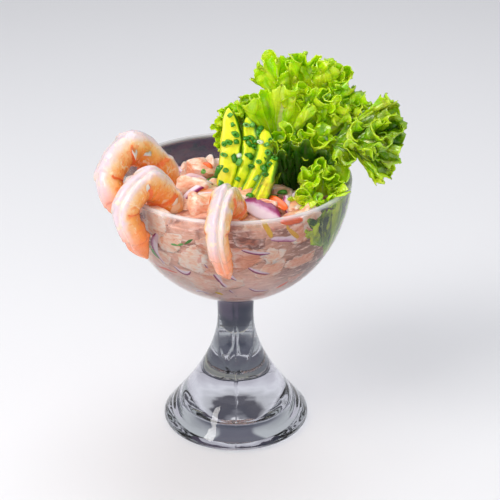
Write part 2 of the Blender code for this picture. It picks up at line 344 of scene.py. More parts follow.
def tint(red: int, green: int, blue: int) -> tuple[float, float, float, float]:
    """A display colour, 0 to 255 in each part, as the linear colour that a shader takes."""
    parts = []
    for value in (red, green, blue):
        share = value / 255
        parts.append(share / 12.92 if share <= 0.04045 else ((share + 0.055) / 1.055) ** 2.4)
    return (*parts, 1)


class Nodes:
    """A node tree, laid out step by step."""

    def __init__(self, tree: bpy.types.NodeTree, coordinates: str) -> None:
        """Start in a tree whose patterns follow some texture coordinates."""
        self.tree = tree
        self.place = self.node("ShaderNodeTexCoord").outputs[coordinates]

    def node(self, kind: str, **settings: object) -> bpy.types.Node:
        """Add a node.

        Args:
            kind: Its type.
            settings: Its own settings by name.

        Returns:
            The node.
        """
        made = self.tree.nodes.new(kind)
        for key, value in settings.items():
            setattr(made, key, value)
        return made

    def join(self, source: Socket, target: Socket) -> None:
        """Link two sockets."""
        self.tree.links.new(source, target)

    def feed(self, sockets: Iterable[Socket], values: Iterable[object]) -> None:
        """Link each socket to another one, or set its own value.

        Args:
            sockets: The sockets.
            values: A socket or a value for each.
        """
        for socket, value in zip(sockets, values):
            if isinstance(value, Socket):
                self.join(value, socket)
            else:
                socket.default_value = value

    def set(self, node: bpy.types.Node, **values: object) -> None:
        """Feed a node's inputs by name, with _ for a space."""
        self.feed([node.inputs[key.replace("_", " ")] for key in values], values.values())

    def axes(self) -> tuple[Socket, ...]:
        """The coordinates' three parts."""
        split = self.node("ShaderNodeSeparateXYZ")
        self.join(self.place, split.inputs["Vector"])
        return tuple(split.outputs)

    def number(self, name: str) -> Socket:
        """Read a number that is stored on the piece's points."""
        return self.node("ShaderNodeAttribute", attribute_name=name).outputs["Fac"]

    def stretch(self, scale: Point) -> Socket:
        """The piece's own coordinates, scaled."""
        mapping = self.node("ShaderNodeMapping")
        self.set(mapping, Vector=self.place, Scale=scale)
        return mapping.outputs["Vector"]

    def noise(self, size: float, detail: float = 3, rough: float = 0.5, twist: float = 0,
              vector: Optional[Socket] = None) -> Socket:
        """Cloudy noise.

        Args:
            size: The size of one cloud, in millimetres.
            detail: How many finer layers.
            rough: How strong the finer layers are.
            twist: How much the noise distorts itself.
            vector: Other coordinates than the tree's own.

        Returns:
            Numbers about 0.5.
        """
        made = self.node("ShaderNodeTexNoise")
        self.set(made, Vector=vector or self.place, Scale=1 / (size * MM), Detail=detail,
                 Roughness=rough, Distortion=twist)
        return made.outputs["Fac"]

    def cells(self, size: float, feature: str = "F1") -> Socket:
        """Distance in a pattern of cells of a size in millimetres."""
        made = self.node("ShaderNodeTexVoronoi", feature=feature)
        self.set(made, Vector=self.place, Scale=1 / (size * MM))
        return made.outputs["Distance"]

    def sum(self, kind: str, *values: object) -> Socket:
        """One step of arithmetic of any kind."""
        made = self.node("ShaderNodeMath", operation=kind)
        self.feed(made.inputs, values)
        return made.outputs["Value"]

    def times(self, first: object, second: object) -> Socket:
        """The product of two values."""
        return self.sum("MULTIPLY", first, second)

    def waver(self, value: object, pattern: Socket, amount: float) -> Socket:
        """A value that a pattern about 0.5 moves up and down by an amount."""
        return self.sum("ADD", value, self.times(self.sum("SUBTRACT", pattern, 0.5), amount))

    def between(self, value: object, low: float, high: float, start: float = 0,
                end: float = 1) -> Socket:
        """A smooth step from start to end as a value goes from low to high."""
        made = self.node("ShaderNodeMapRange", interpolation_type="SMOOTHSTEP")
        self.feed(made.inputs, (value, low, high, start, end))
        return made.outputs["Result"]

    def ramp(self, value: Socket, stops: Stops) -> Socket:
        """Start the colour, from places between 0 and 1 that a value follows.

        Args:
            value: The number to follow.
            stops: The places, each with its colour.

        Returns:
            The colour.
        """
        made = self.node("ShaderNodeValToRGB")
        bar = made.color_ramp.elements
        while len(bar) < len(stops):
            bar.new(1)
        for element, (place, *colour) in zip(bar, stops):
            element.position = place
            element.color = tint(*colour)
        self.join(value, made.inputs["Fac"])
        self.colour = made.outputs["Color"]
        return self.colour

    def lay(self, share: object, paint: Colour, strength: Optional[float] = None) -> Socket:
        """Lay paint over the colour so far.

        Args:
            share: How much of the paint shows, 0 to 1.
            paint: Its colour.
            strength: What the share is multiplied by.

        Returns:
            The mixed colour.
        """
        made = self.node("ShaderNodeMix", data_type="RGBA")
        share = share if strength is None else self.times(share, strength)
        self.feed([made.inputs[k] for k in (0, 6, 7)], (share, self.colour, tint(*paint)))
        self.colour = made.outputs[2]
        return self.colour

    def bump(self, height: Socket, depth: float, below: Optional[Socket] = None) -> Socket:
        """Raise a pattern in the surface.

        Args:
            height: The pattern, 0 to 1.
            depth: Its depth in millimetres.
            below: A bump that it adds to.

        Returns:
            The normal.
        """
        made = self.node("ShaderNodeBump")
        self.set(made, Distance=depth * MM, Strength=1, Height=height)
        if below is not None:
            self.join(below, made.inputs["Normal"])
        return made.outputs["Normal"]

    def choose(self, share: Socket, first: Socket, second: Socket, target: Socket) -> None:
        """Lead the first of two shaders to a target, or the second where a share is 1."""
        mix = self.node("ShaderNodeMixShader")
        self.feed(mix.inputs, (share, first, second))
        self.join(mix.outputs["Shader"], target)

    def in_glass(self) -> Socket:
        """1 for what glass bends into view, 0 for all that is seen or lit directly."""
        path = self.node("ShaderNodeLightPath").outputs
        clear = self.sum("LESS_THAN", path["Diffuse Depth"], 0.5)
        return self.times(path["Is Transmission Ray"], clear)


class Recipe(Nodes):
    """A material's node tree around one Principled shader."""

    def __init__(self, name: str) -> None:
        """Start an empty material.

        Args:
            name: The material's name.
        """
        self.material = bpy.data.materials.new(name)
        self.material.use_nodes = True
        self.material.node_tree.nodes.clear()
        super().__init__(self.material.node_tree, "Object")
        self.output = self.node("ShaderNodeOutputMaterial")
        self.shader = self.node("ShaderNodeBsdfPrincipled")
        self.join(self.shader.outputs["BSDF"], self.output.inputs["Surface"])

    def moist(self, roughness: float, coat: tuple[float, float],
              glow: tuple[float, Point, float], normal: Socket) -> Material:
        """Finish as moist food that light sinks into.

        Args:
            roughness: Its roughness.
            coat: The wet film's weight and roughness.
            glow: The inner light's weight, its reach by colour and its depth in millimetres.
            normal: Its bumps.

        Returns:
            The material.
        """
        self.set(self.shader, Base_Color=self.colour, Roughness=roughness, Coat_Weight=coat[0],
                 Coat_Roughness=coat[1], Subsurface_Weight=glow[0], Subsurface_Radius=glow[1],
                 Subsurface_Scale=glow[2] * MM, Normal=normal)
        return self.material


@dataclass(frozen=True)
class PressedGlass:
    """Thick clear pressed glass, faintly grey, with soft waves, a mould seam and a painted rim
    highlight.
    """

    middle: float
    rim: float
    seam_width: float = 0.35
    seam_depth: float = 0.12
    seam_top: float = 0.072
    wave_size: float = 16
    wave_depth: float = 0.35
    rim_highlight_depth: float = 2.2
    body: Colour = (246, 247, 250)
    shadow: Colour = (236, 238, 244)
    density: float = 8

    def make(self) -> Material:
        """The material; lamps shine through it onto what is inside."""
        look = Recipe("pressed_glass")
        x, _, z = look.axes()
        offset = look.sum("ABSOLUTE", look.sum("SUBTRACT", x, self.middle))
        seam = look.between(offset, 0, self.seam_width * MM, 1, 0)
        low = look.between(z, self.seam_top - 2 * MM, self.seam_top, 1, 0)
        waves = look.bump(look.noise(self.wave_size, 2), self.wave_depth)
        # painted highlight: just under the rim the glass turns half whitish and less clear
        clear = look.between(z, self.rim - self.rim_highlight_depth * MM, self.rim, 1, 0.5)
        look.set(look.shader, Base_Color=tint(*self.body), Roughness=0.015, IOR=1.5,
                 Normal=look.bump(look.times(seam, low), self.seam_depth, waves),
                 Transmission_Weight=clear)
        through = look.node("ShaderNodeBsdfTransparent")
        look.set(through, Color=tint(*self.shadow))
        shadow_ray = look.node("ShaderNodeLightPath").outputs["Is Shadow Ray"]
        look.choose(shadow_ray, look.shader.outputs["BSDF"], through.outputs["BSDF"],
                    look.output.inputs["Surface"])
        depth = look.node("ShaderNodeVolumeAbsorption")
        look.set(depth, Color=(0.58, 0.6, 0.62, 1), Density=self.density)
        look.join(depth.outputs["Volume"], look.output.inputs["Volume"])
        return look.material


@dataclass(frozen=True)
class MilkyJuice:
    """The pink-beige juice and crumbled fish that fill the bowl between the pieces."""

    # The darkest stops are partly the juice's colour, partly painted shade of pockets between the
    # cuts.
    shades: Stops = ((0.28, 112, 66, 56), (0.42, 172, 112, 94), (0.55, 236, 180, 154),
                     (0.7, 196, 128, 102))
    milk: Colour = (244, 210, 200)
    shaded_side: Colour = (128, 84, 70)
    streak: Colour = (242, 206, 190)
    blush: Colour = (222, 142, 120)
    speck: Colour = (112, 66, 52)

    def make(self) -> Material:
        """The material: milkier towards the bottom, and darker to the right as painted shade."""
        look = Recipe("milky_juice")
        x, _, z = look.axes()
        look.ramp(look.noise(13, 4, 0.55, 0.6), self.shades)
        look.lay(look.between(z, 0.084, 0.104, 0.8, 0), self.milk)
        # painted shade: the juice darker towards the right, away from the key lamp
        look.lay(look.between(x, 0, 0.03, 0, 0.75), self.shaded_side)
        fibre = look.noise(2.6, 3, 0.6, 0, look.stretch((0.6, 0.6, 2.4)))
        look.lay(look.between(fibre, 0.52, 0.66), self.streak)
        look.lay(look.between(look.noise(6, 2), 0.6, 0.74), self.blush, 0.6)
        look.lay(look.between(look.cells(4.6), 0.055, 0.095, 1, 0), self.speck)
        return look.moist(0.3, (0, 0.03), (0.25, (1, 0.6, 0.45), 2), look.bump(fibre, 0.25))


@dataclass(frozen=True)
class RawFish:
    """Marinated fish: salmon pink inside, whitish on its cut edges, finely flaked."""

    shades: Stops = ((0.02, 140, 78, 58), (0.2, 206, 124, 92), (0.38, 238, 160, 124),
                     (0.58, 250, 198, 166), (0.8, 255, 232, 214))
    cut_edge: Colour = (252, 236, 226)
    vein: Colour = (222, 118, 84)
    juice: Colour = (220, 182, 172)

    def make(self) -> Material:
        """The material; reads each chunk's edge, partly painted shade and how it lies in the juice.
        """
        look = Recipe("marinated_fish")
        flakes = look.noise(2.2, 4, 0.55, 0.8, look.stretch((0.55, 1, 1.3)))
        depth = look.sum("ADD", look.sum("MULTIPLY_ADD", flakes, 0.9, -0.15),
                         look.times(look.number("shade"), 0.5))
        look.ramp(depth, self.shades)
        edge = look.times(look.number("edge"), look.between(flakes, 0.35, 0.6))
        look.lay(edge, self.cut_edge, 0.75)
        look.lay(look.between(look.noise(5, 2, 0.5, 1.5), 0.62, 0.7), self.vein, 0.5)
        look.lay(look.number("soak"), self.juice, 0.26)
        return look.moist(0.32, (0.25, 0.12), (0.3, (1, 0.45, 0.3), 2.2), look.bump(flakes, 0.35))


@dataclass(frozen=True)
class CookedShrimp:
    """Peeled cooked shrimp: orange inside the curl, lavender white on the back, partly painted
    sheen.
    """

    # Orange in the curl and pale on the back is the shrimp's own colour; the lavender-white top
    # stops are partly a painted sheen where light falls on the back.
    shades: Stops = ((0.1, 236, 130, 44), (0.36, 242, 152, 62), (0.58, 246, 177, 96),
                     (0.78, 244, 203, 154), (0.9, 236, 211, 203), (1, 226, 207, 215))
    fibres: Colour = (254, 233, 204)
    blotch: Colour = (240, 142, 74)
    pale: Colour = (254, 231, 198)
    glow: Colour = (240, 138, 70)
    seam: Colour = (232, 104, 44)
    tail: Colour = (246, 136, 66)
    groove: Colour = (254, 244, 230)

    def make(self) -> Material:
        """The material; it reads the back, the segment seams, the tail and the groove."""
        look = Recipe("cooked_shrimp")
        back = look.number("back")
        look.ramp(look.waver(back, look.noise(7, 3, 0.55, 0.6), 0.45), self.shades)
        fine = look.noise(1.3, 3, 0.6, 0, look.stretch((1, 1, 0.6)))
        look.lay(look.between(fine, 0.5, 0.75, 0, 0.35), self.fibres)
        blotch = look.between(look.noise(3.8, 4, 0.62, 1.5), 0.53, 0.6)
        warm = look.between(back, 0.62, 0.92, 1, 0)
        look.lay(look.times(blotch, warm), self.blotch, 0.7)
        look.lay(look.between(look.noise(4.6, 3, 0.6, 0.8), 0.58, 0.66), self.pale, 0.7)
        close = look.waver(look.number("seam"), look.noise(2.2, 4, 0.65, 0.6), 0.34)
        look.lay(look.between(close, 0.66, 0.98), self.glow, 0.45)
        look.lay(look.between(close, 0.86, 0.96), self.seam, 0.85)
        look.lay(look.number("tail"), self.tail)
        look.lay(look.number("groove"), self.groove)
        wrinkles = look.bump(look.noise(2.4, 4, 0.6, 0.8), 0.35)
        return look.moist(0.27, (0.4, 0.08), (0.5, (1, 0.55, 0.36), 2.6),
                          look.bump(fine, 0.16, wrinkles))


@dataclass(frozen=True)
class RipeAvocado:
    """Avocado flesh: lemon yellow on the cut face, green towards the skin side."""

    shades: Stops = ((0.1, 254, 246, 90), (0.32, 248, 244, 40), (0.52, 230, 242, 18),
                     (0.68, 160, 200, 4), (0.82, 96, 148, 0), (1, 44, 80, 0))
    ripe: Colour = (206, 170, 62)

    def make(self) -> Material:
        """The material; it reads how near the skin a point is and its slice's ripeness."""
        look = Recipe("ripe_avocado")
        drift = look.noise(4.5, 3, 0.6, 0.4)
        look.ramp(look.waver(look.number("skin"), drift, 0.45), self.shades)
        spots = look.between(look.noise(3, 3), 0.42, 0.62)
        look.lay(look.times(look.number("warm"), spots), self.ripe)
        return look.moist(0.38, (0.15, 0.2), (0.35, (0.8, 1, 0.2), 1.5),
                          look.bump(look.noise(0.9, 3, 0.65), 0.14))


@dataclass(frozen=True)
class FrillyLeaf:
    """Crisp frilly lettuce: pale ribs, bright yellow-green blade and a yellow edge."""

    shades: Stops = ((0.3, 146, 218, 0), (0.48, 184, 240, 0), (0.68, 222, 252, 30))
    # painted shade, laid where a blade is deep in the head or in a fold
    shaded: Colour = (26, 74, 0)
    # painted highlight on the crests of the ruffles
    crest_highlight: Colour = (224, 252, 60)
    net: Colour = (206, 232, 60)
    rib: Colour = (220, 240, 130)
    rim: Colour = (192, 232, 16)

    def make(self) -> Material:
        """The material; it reads rim, ribs, painted crest highlights and painted shade in the head.
        """
        look = Recipe("frilly_lettuce")
        look.ramp(look.noise(9, 3, 0.55, 0.5), self.shades)
        deep = look.number("deep")
        look.lay(deep, self.shaded)
        look.lay(look.number("crest_highlight"), self.crest_highlight, 0.65)
        net = look.between(look.cells(2.6, "DISTANCE_TO_EDGE"), 0, 0.1, 1, 0)
        outside_painted_shade = look.sum("SUBTRACT", 1, deep)
        look.lay(look.times(net, outside_painted_shade), self.net, 0.24)
        look.lay(look.number("rib"), self.rib)
        look.lay(look.number("rim"), self.rim)
        crinkle = look.sum("ADD", look.noise(2.2, 3, 0.6), look.times(net, -0.35))
        return look.moist(0.26, (0.75, 0.12), (0.6, (0.7, 1, 0.1), 2), look.bump(crinkle, 0.35))


@dataclass(frozen=True)
class CutGarnish:
    """A thin cut thing whose colour follows one stored number, finely streaked."""

    name: str
    number: str
    shades: Stops
    grain: float
    twist: float
    waver: float
    roughness: float
    coat: tuple[float, float]
    glow: tuple[float, Point, float]
    bump: float

    def make(self) -> Material:
        """The material."""
        look = Recipe(self.name)
        lines = look.noise(self.grain, 3, 0.6, self.twist)
        shade = look.waver(look.number(self.number), lines, self.waver)
        look.ramp(shade, self.shades)
        return look.moist(self.roughness, self.coat, self.glow, look.bump(lines, self.bump))


RED_ONION = CutGarnish("red_onion", "skin", (
    (0.35, 236, 214, 222), (0.58, 218, 168, 196), (0.74, 168, 66, 118), (0.95, 134, 18, 84)),
    1.4, 0, 0.3, 0.22, (0.3, 0.1), (0.3, (1, 0.7, 0.8), 1.6), 0.1)
PEPPER_FLESH = CutGarnish("pepper_flesh", "shade", (
    (0.1, 232, 84, 40), (0.4, 246, 122, 30), (0.65, 226, 160, 40), (0.9, 232, 190, 40)),
    1.8, 0.3, 0.3, 0.28, (0.3, 0.1), (0.2, (1, 0.5, 0.2), 1.2), 0.12)
# Its palest stop is partly the chives' pale cut ends, partly a painted highlight.
FRESH_CHIVE = CutGarnish("fresh_chive", "shade", (
    (0.1, 34, 104, 6), (0.45, 66, 152, 26), (0.75, 116, 184, 84), (0.97, 220, 234, 206)),
    0.8, 0, 0.4, 0.3, (0.25, 0.15), (0.15, (0.4, 1, 0.3), 0.8), 0.06)


# --- The cup and what fills it ---


@dataclass(frozen=True)
class BowlCurve:
    """The bowl's rounded outline, from its bottom on the axis up to its rim."""

    rim: float
    bottom: float
    centre: float = 130
    fullness: float = 2.1

    def radius(self, height: Numbers) -> Numbers:
        """The outline's radius at some heights."""
        share = np.clip((self.centre - height) / (self.centre - self.bottom), 0, 1)
        return self.rim * (1 - share ** self.fullness) ** (1 / self.fullness)

    def points(self, top: float, steps: int) -> Line:
        """Radius and height of points from the bottom up to a height.

        Args:
            top: The last point's height.
            steps: How many spans.

        Returns:
            The points.
        """
        depth = self.centre - self.bottom
        power = 2 / self.fullness
        last = math.acos(((self.centre - top) / depth) ** (1 / power))
        return [(self.rim * math.sin(last * i / steps) ** power,
                 self.centre - depth * math.cos(last * i / steps) ** power)
                for i in range(steps + 1)]


def bezier(points: Line, steps: int) -> Line:
    """Points along a cubic Bezier curve, without its first.

    Args:
        points: Its two ends and the two handles between them.
        steps: How many points.

    Returns:
        Radius and height of each.
    """
    line = []
    for step in range(1, steps + 1):
        t = step / steps
        shares = ((1 - t) ** 3, 3 * t * (1 - t) ** 2, 3 * t * t * (1 - t), t ** 3)
        line.append((sum(s * p[0] for s, p in zip(shares, points)),
                     sum(s * p[1] for s, p in zip(shares, points))))
    return line


@dataclass
class FootedCup:
    """The glass cup: a deep bowl on a solid waisted stem and a flared foot."""

    bench: Bench
    height: float = 126.6
    rim_radius: float = 53
    bottom: float = 68
    wall: float = 2.7
    floor: float = 73.5
    neck: float = 8.5
    neck_height: float = 56
    foot_radius: float = 35
    foot_ring: float = 30.5
    hollow_radius: float = 27
    hollow_slope: float = 4
    hollow_depth: float = 6.5
    hollow_dome: float = 1.5
    seat_width: float = 1.4
    shoulder_width: float = 3.5
    steps: int = 160

    def inside(self) -> BowlCurve:
        """The inner wall's curve."""
        return BowlCurve(self.rim_radius - self.wall, self.floor)

    def outline(self) -> Line:
        """Half outline from under the foot, up the outside and down the inside."""
        ring, hollow = self.foot_ring, self.hollow_radius
        inner, depth = hollow - self.hollow_slope, self.hollow_depth
        line = [(inner * k / 12, depth + self.hollow_dome * (1 - (k / 12) ** 2)) for k in range(11)]
        line += bezier([line[-1], (inner - 0.5, depth), (inner + 0.2, depth - 0.6),
                        (inner + 0.8, depth - 1.8)], 7)
        line += bezier([line[-1], (hollow - 1.3, 1.2), (hollow - 0.9, 0), (hollow, 0)], 9)
        line += [((hollow * (3 - k) + ring * k) / 3, 0) for k in (1, 2, 3)]
        edge = (self.foot_radius - self.seat_width, 5)
        line += bezier([(ring, 0), (self.foot_radius, 0), (self.foot_radius + 0.9, 2.6), edge], 12)
        waist = (self.neck, self.neck_height)
        line += bezier([edge, (23, 18), (self.neck, 36), waist], 40)
        shoulder = (self.neck + self.shoulder_width, self.bottom + 1.2)
        line += bezier([waist, (self.neck, 63), (self.neck, 66), shoulder], 12)
        under = self.height - self.wall / 2
        outer = BowlCurve(self.rim_radius, self.bottom).points(under, 70)
        line += [point for point in outer if point[0] > shoulder[0] + 1]
        inner = self.inside().points(under, 64)
        middle = (line[-1][0] + inner[-1][0]) / 2
        for turn in np.radians(np.linspace(15, 165, 11)):
            line.append((middle + self.wall / 2 * math.cos(turn),
                         under + self.wall / 2 * math.sin(turn)))
        return line + inner[::-1]

    def build(self) -> Piece:
        """Spin and dress the cup, which stands for the frame's own."""
        cup = self.bench.lathe("cup_body", self.outline(), self.steps)
        glass = PressedGlass(float(self.bench.axis[0]), self.height * MM)
        return self.bench.hand_in("footed_cup", [cup], Slot.GLASS, glass.make(), "cup")


@dataclass
class Filling:
    """The heap in the bowl: its surface, and the wall that everything presses against."""

    bench: Bench
    wall: BowlCurve
    level: float = 116
    slope: float = 5.5
    mound: float = 7
    mound_at: tuple[float, float] = (-2, -6)
    spread: float = 26
    half_width: float = 53
    lumps: float = 1.3
    bite: float = 0.15
    seed: int = 11
    uneven: Unevenness = field(init=False)

    def __post_init__(self) -> None:
        """Make the unevenness once."""
        self.uneven = Unevenness(self.seed)

    def surface(self, x: Numbers, y: Numbers) -> Numbers:
        """Height of the juice's surface.

        Args:
            x: How far to the right of the axis.
            y: How far behind it.

        Returns:
            The height at each place.
        """
        away = ((x - self.mound_at[0]) ** 2 + (y - self.mound_at[1]) ** 2) / self.spread ** 2
        flat = np.stack([x, y, 0 * x], -1)
        rough = self.uneven.at(flat, 9) + 0.5 * self.uneven.at(flat + 50, 4)
        slope = -self.slope * y / self.half_width
        return self.level + slope + self.mound * np.exp(-away) + self.lumps * rough

    def press(self, places: Array, bite: float) -> Array:
        """Keep places inside the bowl, flattened against its wall.

        Args:
            places: Points in millimetres.
            bite: How far into the glass they may reach.

        Returns:
            The points, moved in where they lay outside.
        """
        reach = np.hypot(places[..., 0], places[..., 1])
        floor = self.wall.bottom - bite
        height = np.maximum(places[..., 2], floor + 0.02)
        limit = BowlCurve(self.wall.rim + bite, floor).radius(height)
        share = np.minimum(1, limit / np.maximum(reach, 1e-6))
        return np.stack([places[..., 0] * share, places[..., 1] * share, height], -1)

    def on_wall(self, along: Numbers, height: Numbers, depth: Numbers) -> Array:
        """Places on the wall, by turn in degrees and height, some millimetres inside it."""
        turn, radius = np.radians(along), np.maximum(self.wall.radius(height) - depth, 0)
        return np.stack([radius * np.cos(turn), radius * np.sin(turn), height], -1)

    def build(self) -> Piece:
        """Shape and dress the juice, which reaches just into the wall.

        Returns:
            The finished piece, which stands for the frame's heap.
        """
        core, _, turn = self.bench.ball("juice", 144, 120)
        polar = np.arccos(np.clip(self.bench.read(core)[:, 2], -1, 1))
        away = np.stack([np.cos(turn), np.sin(turn)], -1)
        curve = BowlCurve(self.wall.rim + self.bite, self.wall.bottom - self.bite)
        edge = np.full(len(turn), curve.rim - 1)
        for _ in range(5):
            top = self.surface(edge * away[:, 0], edge * away[:, 1])
            edge = curve.radius(top)
        reach = edge * np.clip(polar / (math.pi / 2), 0, 1)
        top_height = self.surface(away[:, 0] * reach, away[:, 1] * reach)
        depth, power = curve.centre - curve.bottom, 2 / curve.fullness
        last = np.arccos(((curve.centre - top) / depth) ** (1 / power))
        angle = np.clip(last * (math.pi - polar) / (math.pi / 2), 0, last)
        upper = polar < math.pi / 2
        reach = np.where(upper, reach, curve.rim * np.sin(angle) ** power)
        height = np.where(upper, top_height, curve.centre - depth * np.cos(angle) ** power)
        self.bench.settle(core, np.column_stack([away * reach[:, None], height]))
        return self.bench.hand_in("juice_and_flakes", [core], Slot.MIX, MilkyJuice().make(),
                                  "ceviche_mix")


# --- The shrimps ---


@dataclass(frozen=True)
class Flap:
    """A torn scrap of membrane that stands off a shrimp's side."""

    along: float
    turn: float
    length: float
    width: float
    heading: float


@dataclass
class Shrimp:
    """A peeled shrimp bent over the rim, its cut end in the bowl and its tail outside."""

    bench: Bench
    name: str
    line: tuple[Point, ...]
    girth: float
    groove: float
    groove_at: float
    flaps: tuple[Flap, ...]
    seed: int
    narrowing: float
    tail_share: float
    half_height: float = 8.6
    half_width: float = 7
    segments: int = 6
    flattening: float = 0.16
    ledge: float = 0.13
    rings: int = 190
    sides: int = 80
    cut_share: float = 0.035

    def spine(self, part: Array) -> tuple[Array, ...]:
        """The middle line and its directions.

        Args:
            part: Where along the line, 0 at the cut end and 1 at the tail's tip.

        Returns:
            The places, and unit directions along, towards the back and to the side.
        """
        knots = np.array(self.line, float)
        side = unit(np.cross(knots[1] - knots[2], knots[3] - knots[2]))
        middle, along = follow(self.line, part, 0.004)
        back = unit(np.cross(np.broadcast_to(side, along.shape), along))
        return middle, along, back, np.cross(along, back)

    def thickness(self, part: Array) -> Array:
        """How thick the body is along its length, against its thickest part."""
        left = np.maximum(1 - part, 0) / self.tail_share
        return (1 - self.narrowing * part ** 1.3) * np.minimum(1, (left + 0.02) ** 0.75)

    def plates(self, part: Array, turn: Array) -> tuple[Array, Array]:
        """The overlapping segments of the body.

        Args:
            part: Where along the line.
            turn: Where around, a quarter turn at the back.

        Returns:
            How far each point stands out, 0 to 1, and how near it is to a seam, 1 at it.
        """
        slant = 0.16 * np.sin(turn) + 0.05 * np.sin(3 * turn + self.seed)
        count = part * self.segments * (1 - 0.1 * part) + 0.35 + slant
        share = count - np.floor(count)
        rise = share ** 1.6 * (1 - ease(share, 0.93, 1))
        nearest = np.minimum(np.abs(share - 0.97), share + 0.03)
        inside = ease(part, 0.02, 0.1) * (1 - ease(part, 0.93, 0.98))
        return rise * inside, (1 - nearest / 0.5) * inside

    def skin(self, part: Array, turn: Array, lift: float = 0) -> tuple[Array, dict[str, Array]]:
        """Places on the body and what the finish reads there.

        Args:
            part: Where along the line.
            turn: Where around, a quarter turn at the back.
            lift: How far off the surface, in millimetres.

        Returns:
            The places and the numbers to store.
        """
        middle, _, back, side = self.spine(part)
        rise, seam = self.plates(part, turn)
        up, out = np.sin(turn), np.cos(turn)
        belly = np.maximum(0, -up)
        thick = self.girth * self.thickness(part) * (1 + self.ledge * (rise - 0.4))
        round_side = np.sign(out) * np.abs(out) ** 0.92
        x = self.half_width * thick * (1 - 0.2 * belly) * round_side
        y = self.half_height * thick * up * (1 - self.flattening * belly)
        reach = ease(part, 0.05, 0.16) * (1 - ease(part, 0.8, 0.95))
        off = (turn - math.pi / 2 - self.groove_at + math.pi) % math.tau - math.pi
        cleft = np.exp(-(off / 0.11) ** 2) * reach
        lips = (np.exp(-((np.abs(off) - 0.33) / 0.16) ** 2)) * reach
        dent = self.groove * (0.4 * lips - cleft)
        legs = 0.55 * belly ** 3 * np.sin(math.tau * part * self.segments * 2) * reach
        rough = Unevenness(self.seed)
        flat = middle + side * x[..., None] + back * y[..., None]
        lumps = (0.4 * rough.at(flat, 6) + 0.22 * rough.at(flat + 40, 2.6)
                 + 0.1 * rough.at(flat + 80, 1.3))
        outward = unit(side * (out / self.half_width)[..., None]
                       + back * (up / self.half_height)[..., None])
        places = flat + outward * (dent + legs + lumps * thick + lift)[..., None]
        return places, {
            "back": 0.5 + 0.5 * up + 0.06 * lips,
            "seam": seam * (1 - 0.6 * ease(up, 0.45, 0.85)),
            "tail": ease(part, 0.64, 0.88) * 0.85,
            "groove": cleft * 0.6 * self.groove,
        }

    def body(self) -> Piece:
        """Shape the body from a ball, ring by ring."""
        piece, polar, turn = self.bench.ball(self.name, self.sides, self.rings)
        part = np.clip((polar - self.cut_share) / (1 - self.cut_share), 0, 1)
        places, facts = self.skin(part, turn)
        middle, along, _, _ = self.spine(part)
        cap = np.clip(polar / self.cut_share, 0, 1)
        width = np.where(cap < 1, np.sqrt(np.clip(cap * (2 - cap), 0, 1)), 1)
        tip = ease(polar, 0.995, 1)
        places = middle + (places - middle) * (width * (1 - tip))[:, None]
        places -= along * ((1 - cap) * 2)[:, None]
        self.bench.settle(piece, places)
        self.bench.mark(piece, **facts)
        return piece

    def flap(self, number: int, flap: Flap) -> Piece:
        """Shape one scrap: a thin pointed tongue that rises off the side.

        Args:
            number: Which scrap it is.
            flap: Where it stands and its size.

        Returns:
            The scrap.
        """
        piece = self.bench.ball(f"{self.name}_flap_{number}", 16, 14)[0]
        ball = self.bench.read(piece)
        here, turn = np.array([flap.along]), np.array([flap.turn])
        root, lifted = (self.skin(here, turn, lift)[0][0] for lift in (-0.5, 1.5))
        along = self.spine(here)[1][0]
        out = unit(lifted - root)
        heading = math.radians(flap.heading)
        forward = along * math.cos(heading) + np.cross(along, out) * math.sin(heading)
        across = np.cross(out, forward)
        reach = (ball[:, 2] + 1) / 2
        narrow = (1 - reach) ** 0.8 * ease(reach, -0.2, 0.35)
        places = (root + forward * (reach * flap.length)[:, None]
                  + across * (ball[:, 0] * narrow * flap.width / 2 * 1.3
                              + 0.5 * np.sin(4 * reach + number))[:, None]
                  + out * (ball[:, 1] * 0.35 * narrow + 0.4 - 0.7 * reach ** 2)[:, None])
        self.bench.settle(piece, places)
        self.bench.mark(piece, back=0.86, seam=0, tail=0, groove=0.45)
        return piece

    def build(self, finish: Material) -> Piece:
        """Shape, join and dress the shrimp, which stands for the frame's node of its name."""
        parts = [self.body(), *(self.flap(*scrap) for scrap in enumerate(self.flaps))]
        return self.bench.hand_in(f"peeled_{self.name}", parts, Slot.SHRIMP, finish, self.name)


SHRIMPS = (
    (((-33, 3.5, 111), (-32.9, 1, 125.4), (-45, -8.5, 142), (-54.2, -20.6, 134.2),
      (-50.8, -26.4, 125.2), (-46.8, -29.8, 116.4)), 1.06, 0.25, -0.2,
     (Flap(0.45, 2.7, 6, 3, -75), Flap(0.35, 2.95, 5, 3.6, -60), Flap(0.45, 1.45, 2.4, 1.8, 20)),
     21, 0.36, 0.15),
    (((-29.6, -19.5, 107), (-29.7, -22.5, 120.2), (-37, -31, 134.5), (-46, -40.4, 127.6),
      (-42.8, -40.8, 116), (-38, -37, 102.2)), 1, 0.8, 0.35,
     (Flap(0.26, 2.7, 6, 2.6, -80), Flap(0.45, 2.5, 4, 3, -60)), 22, 0.36, 0.14),
    (((0.6, -28, 107), (-0.8, -32.6, 120.4), (-4.1, -45.9, 132.9), (-7.2, -61, 127.9),
      (-6.4, -59.6, 116), (-2.4, -52.8, 100)), 0.95, 1.4, 0.3,
     (Flap(0.52, 3.1, 4, 3, 150),), 23, 0.42, 0.1),
)


# --- The avocado and the chives ---


@dataclass(frozen=True)
class Slice:
    """One avocado slice: its middle line from foot to top and its widths along it."""

    line: tuple[Point, ...]
    widths: tuple[float, float, float, float]
    thickness: float
    face: Point
    warm: float = 0
    green: float = 0.54


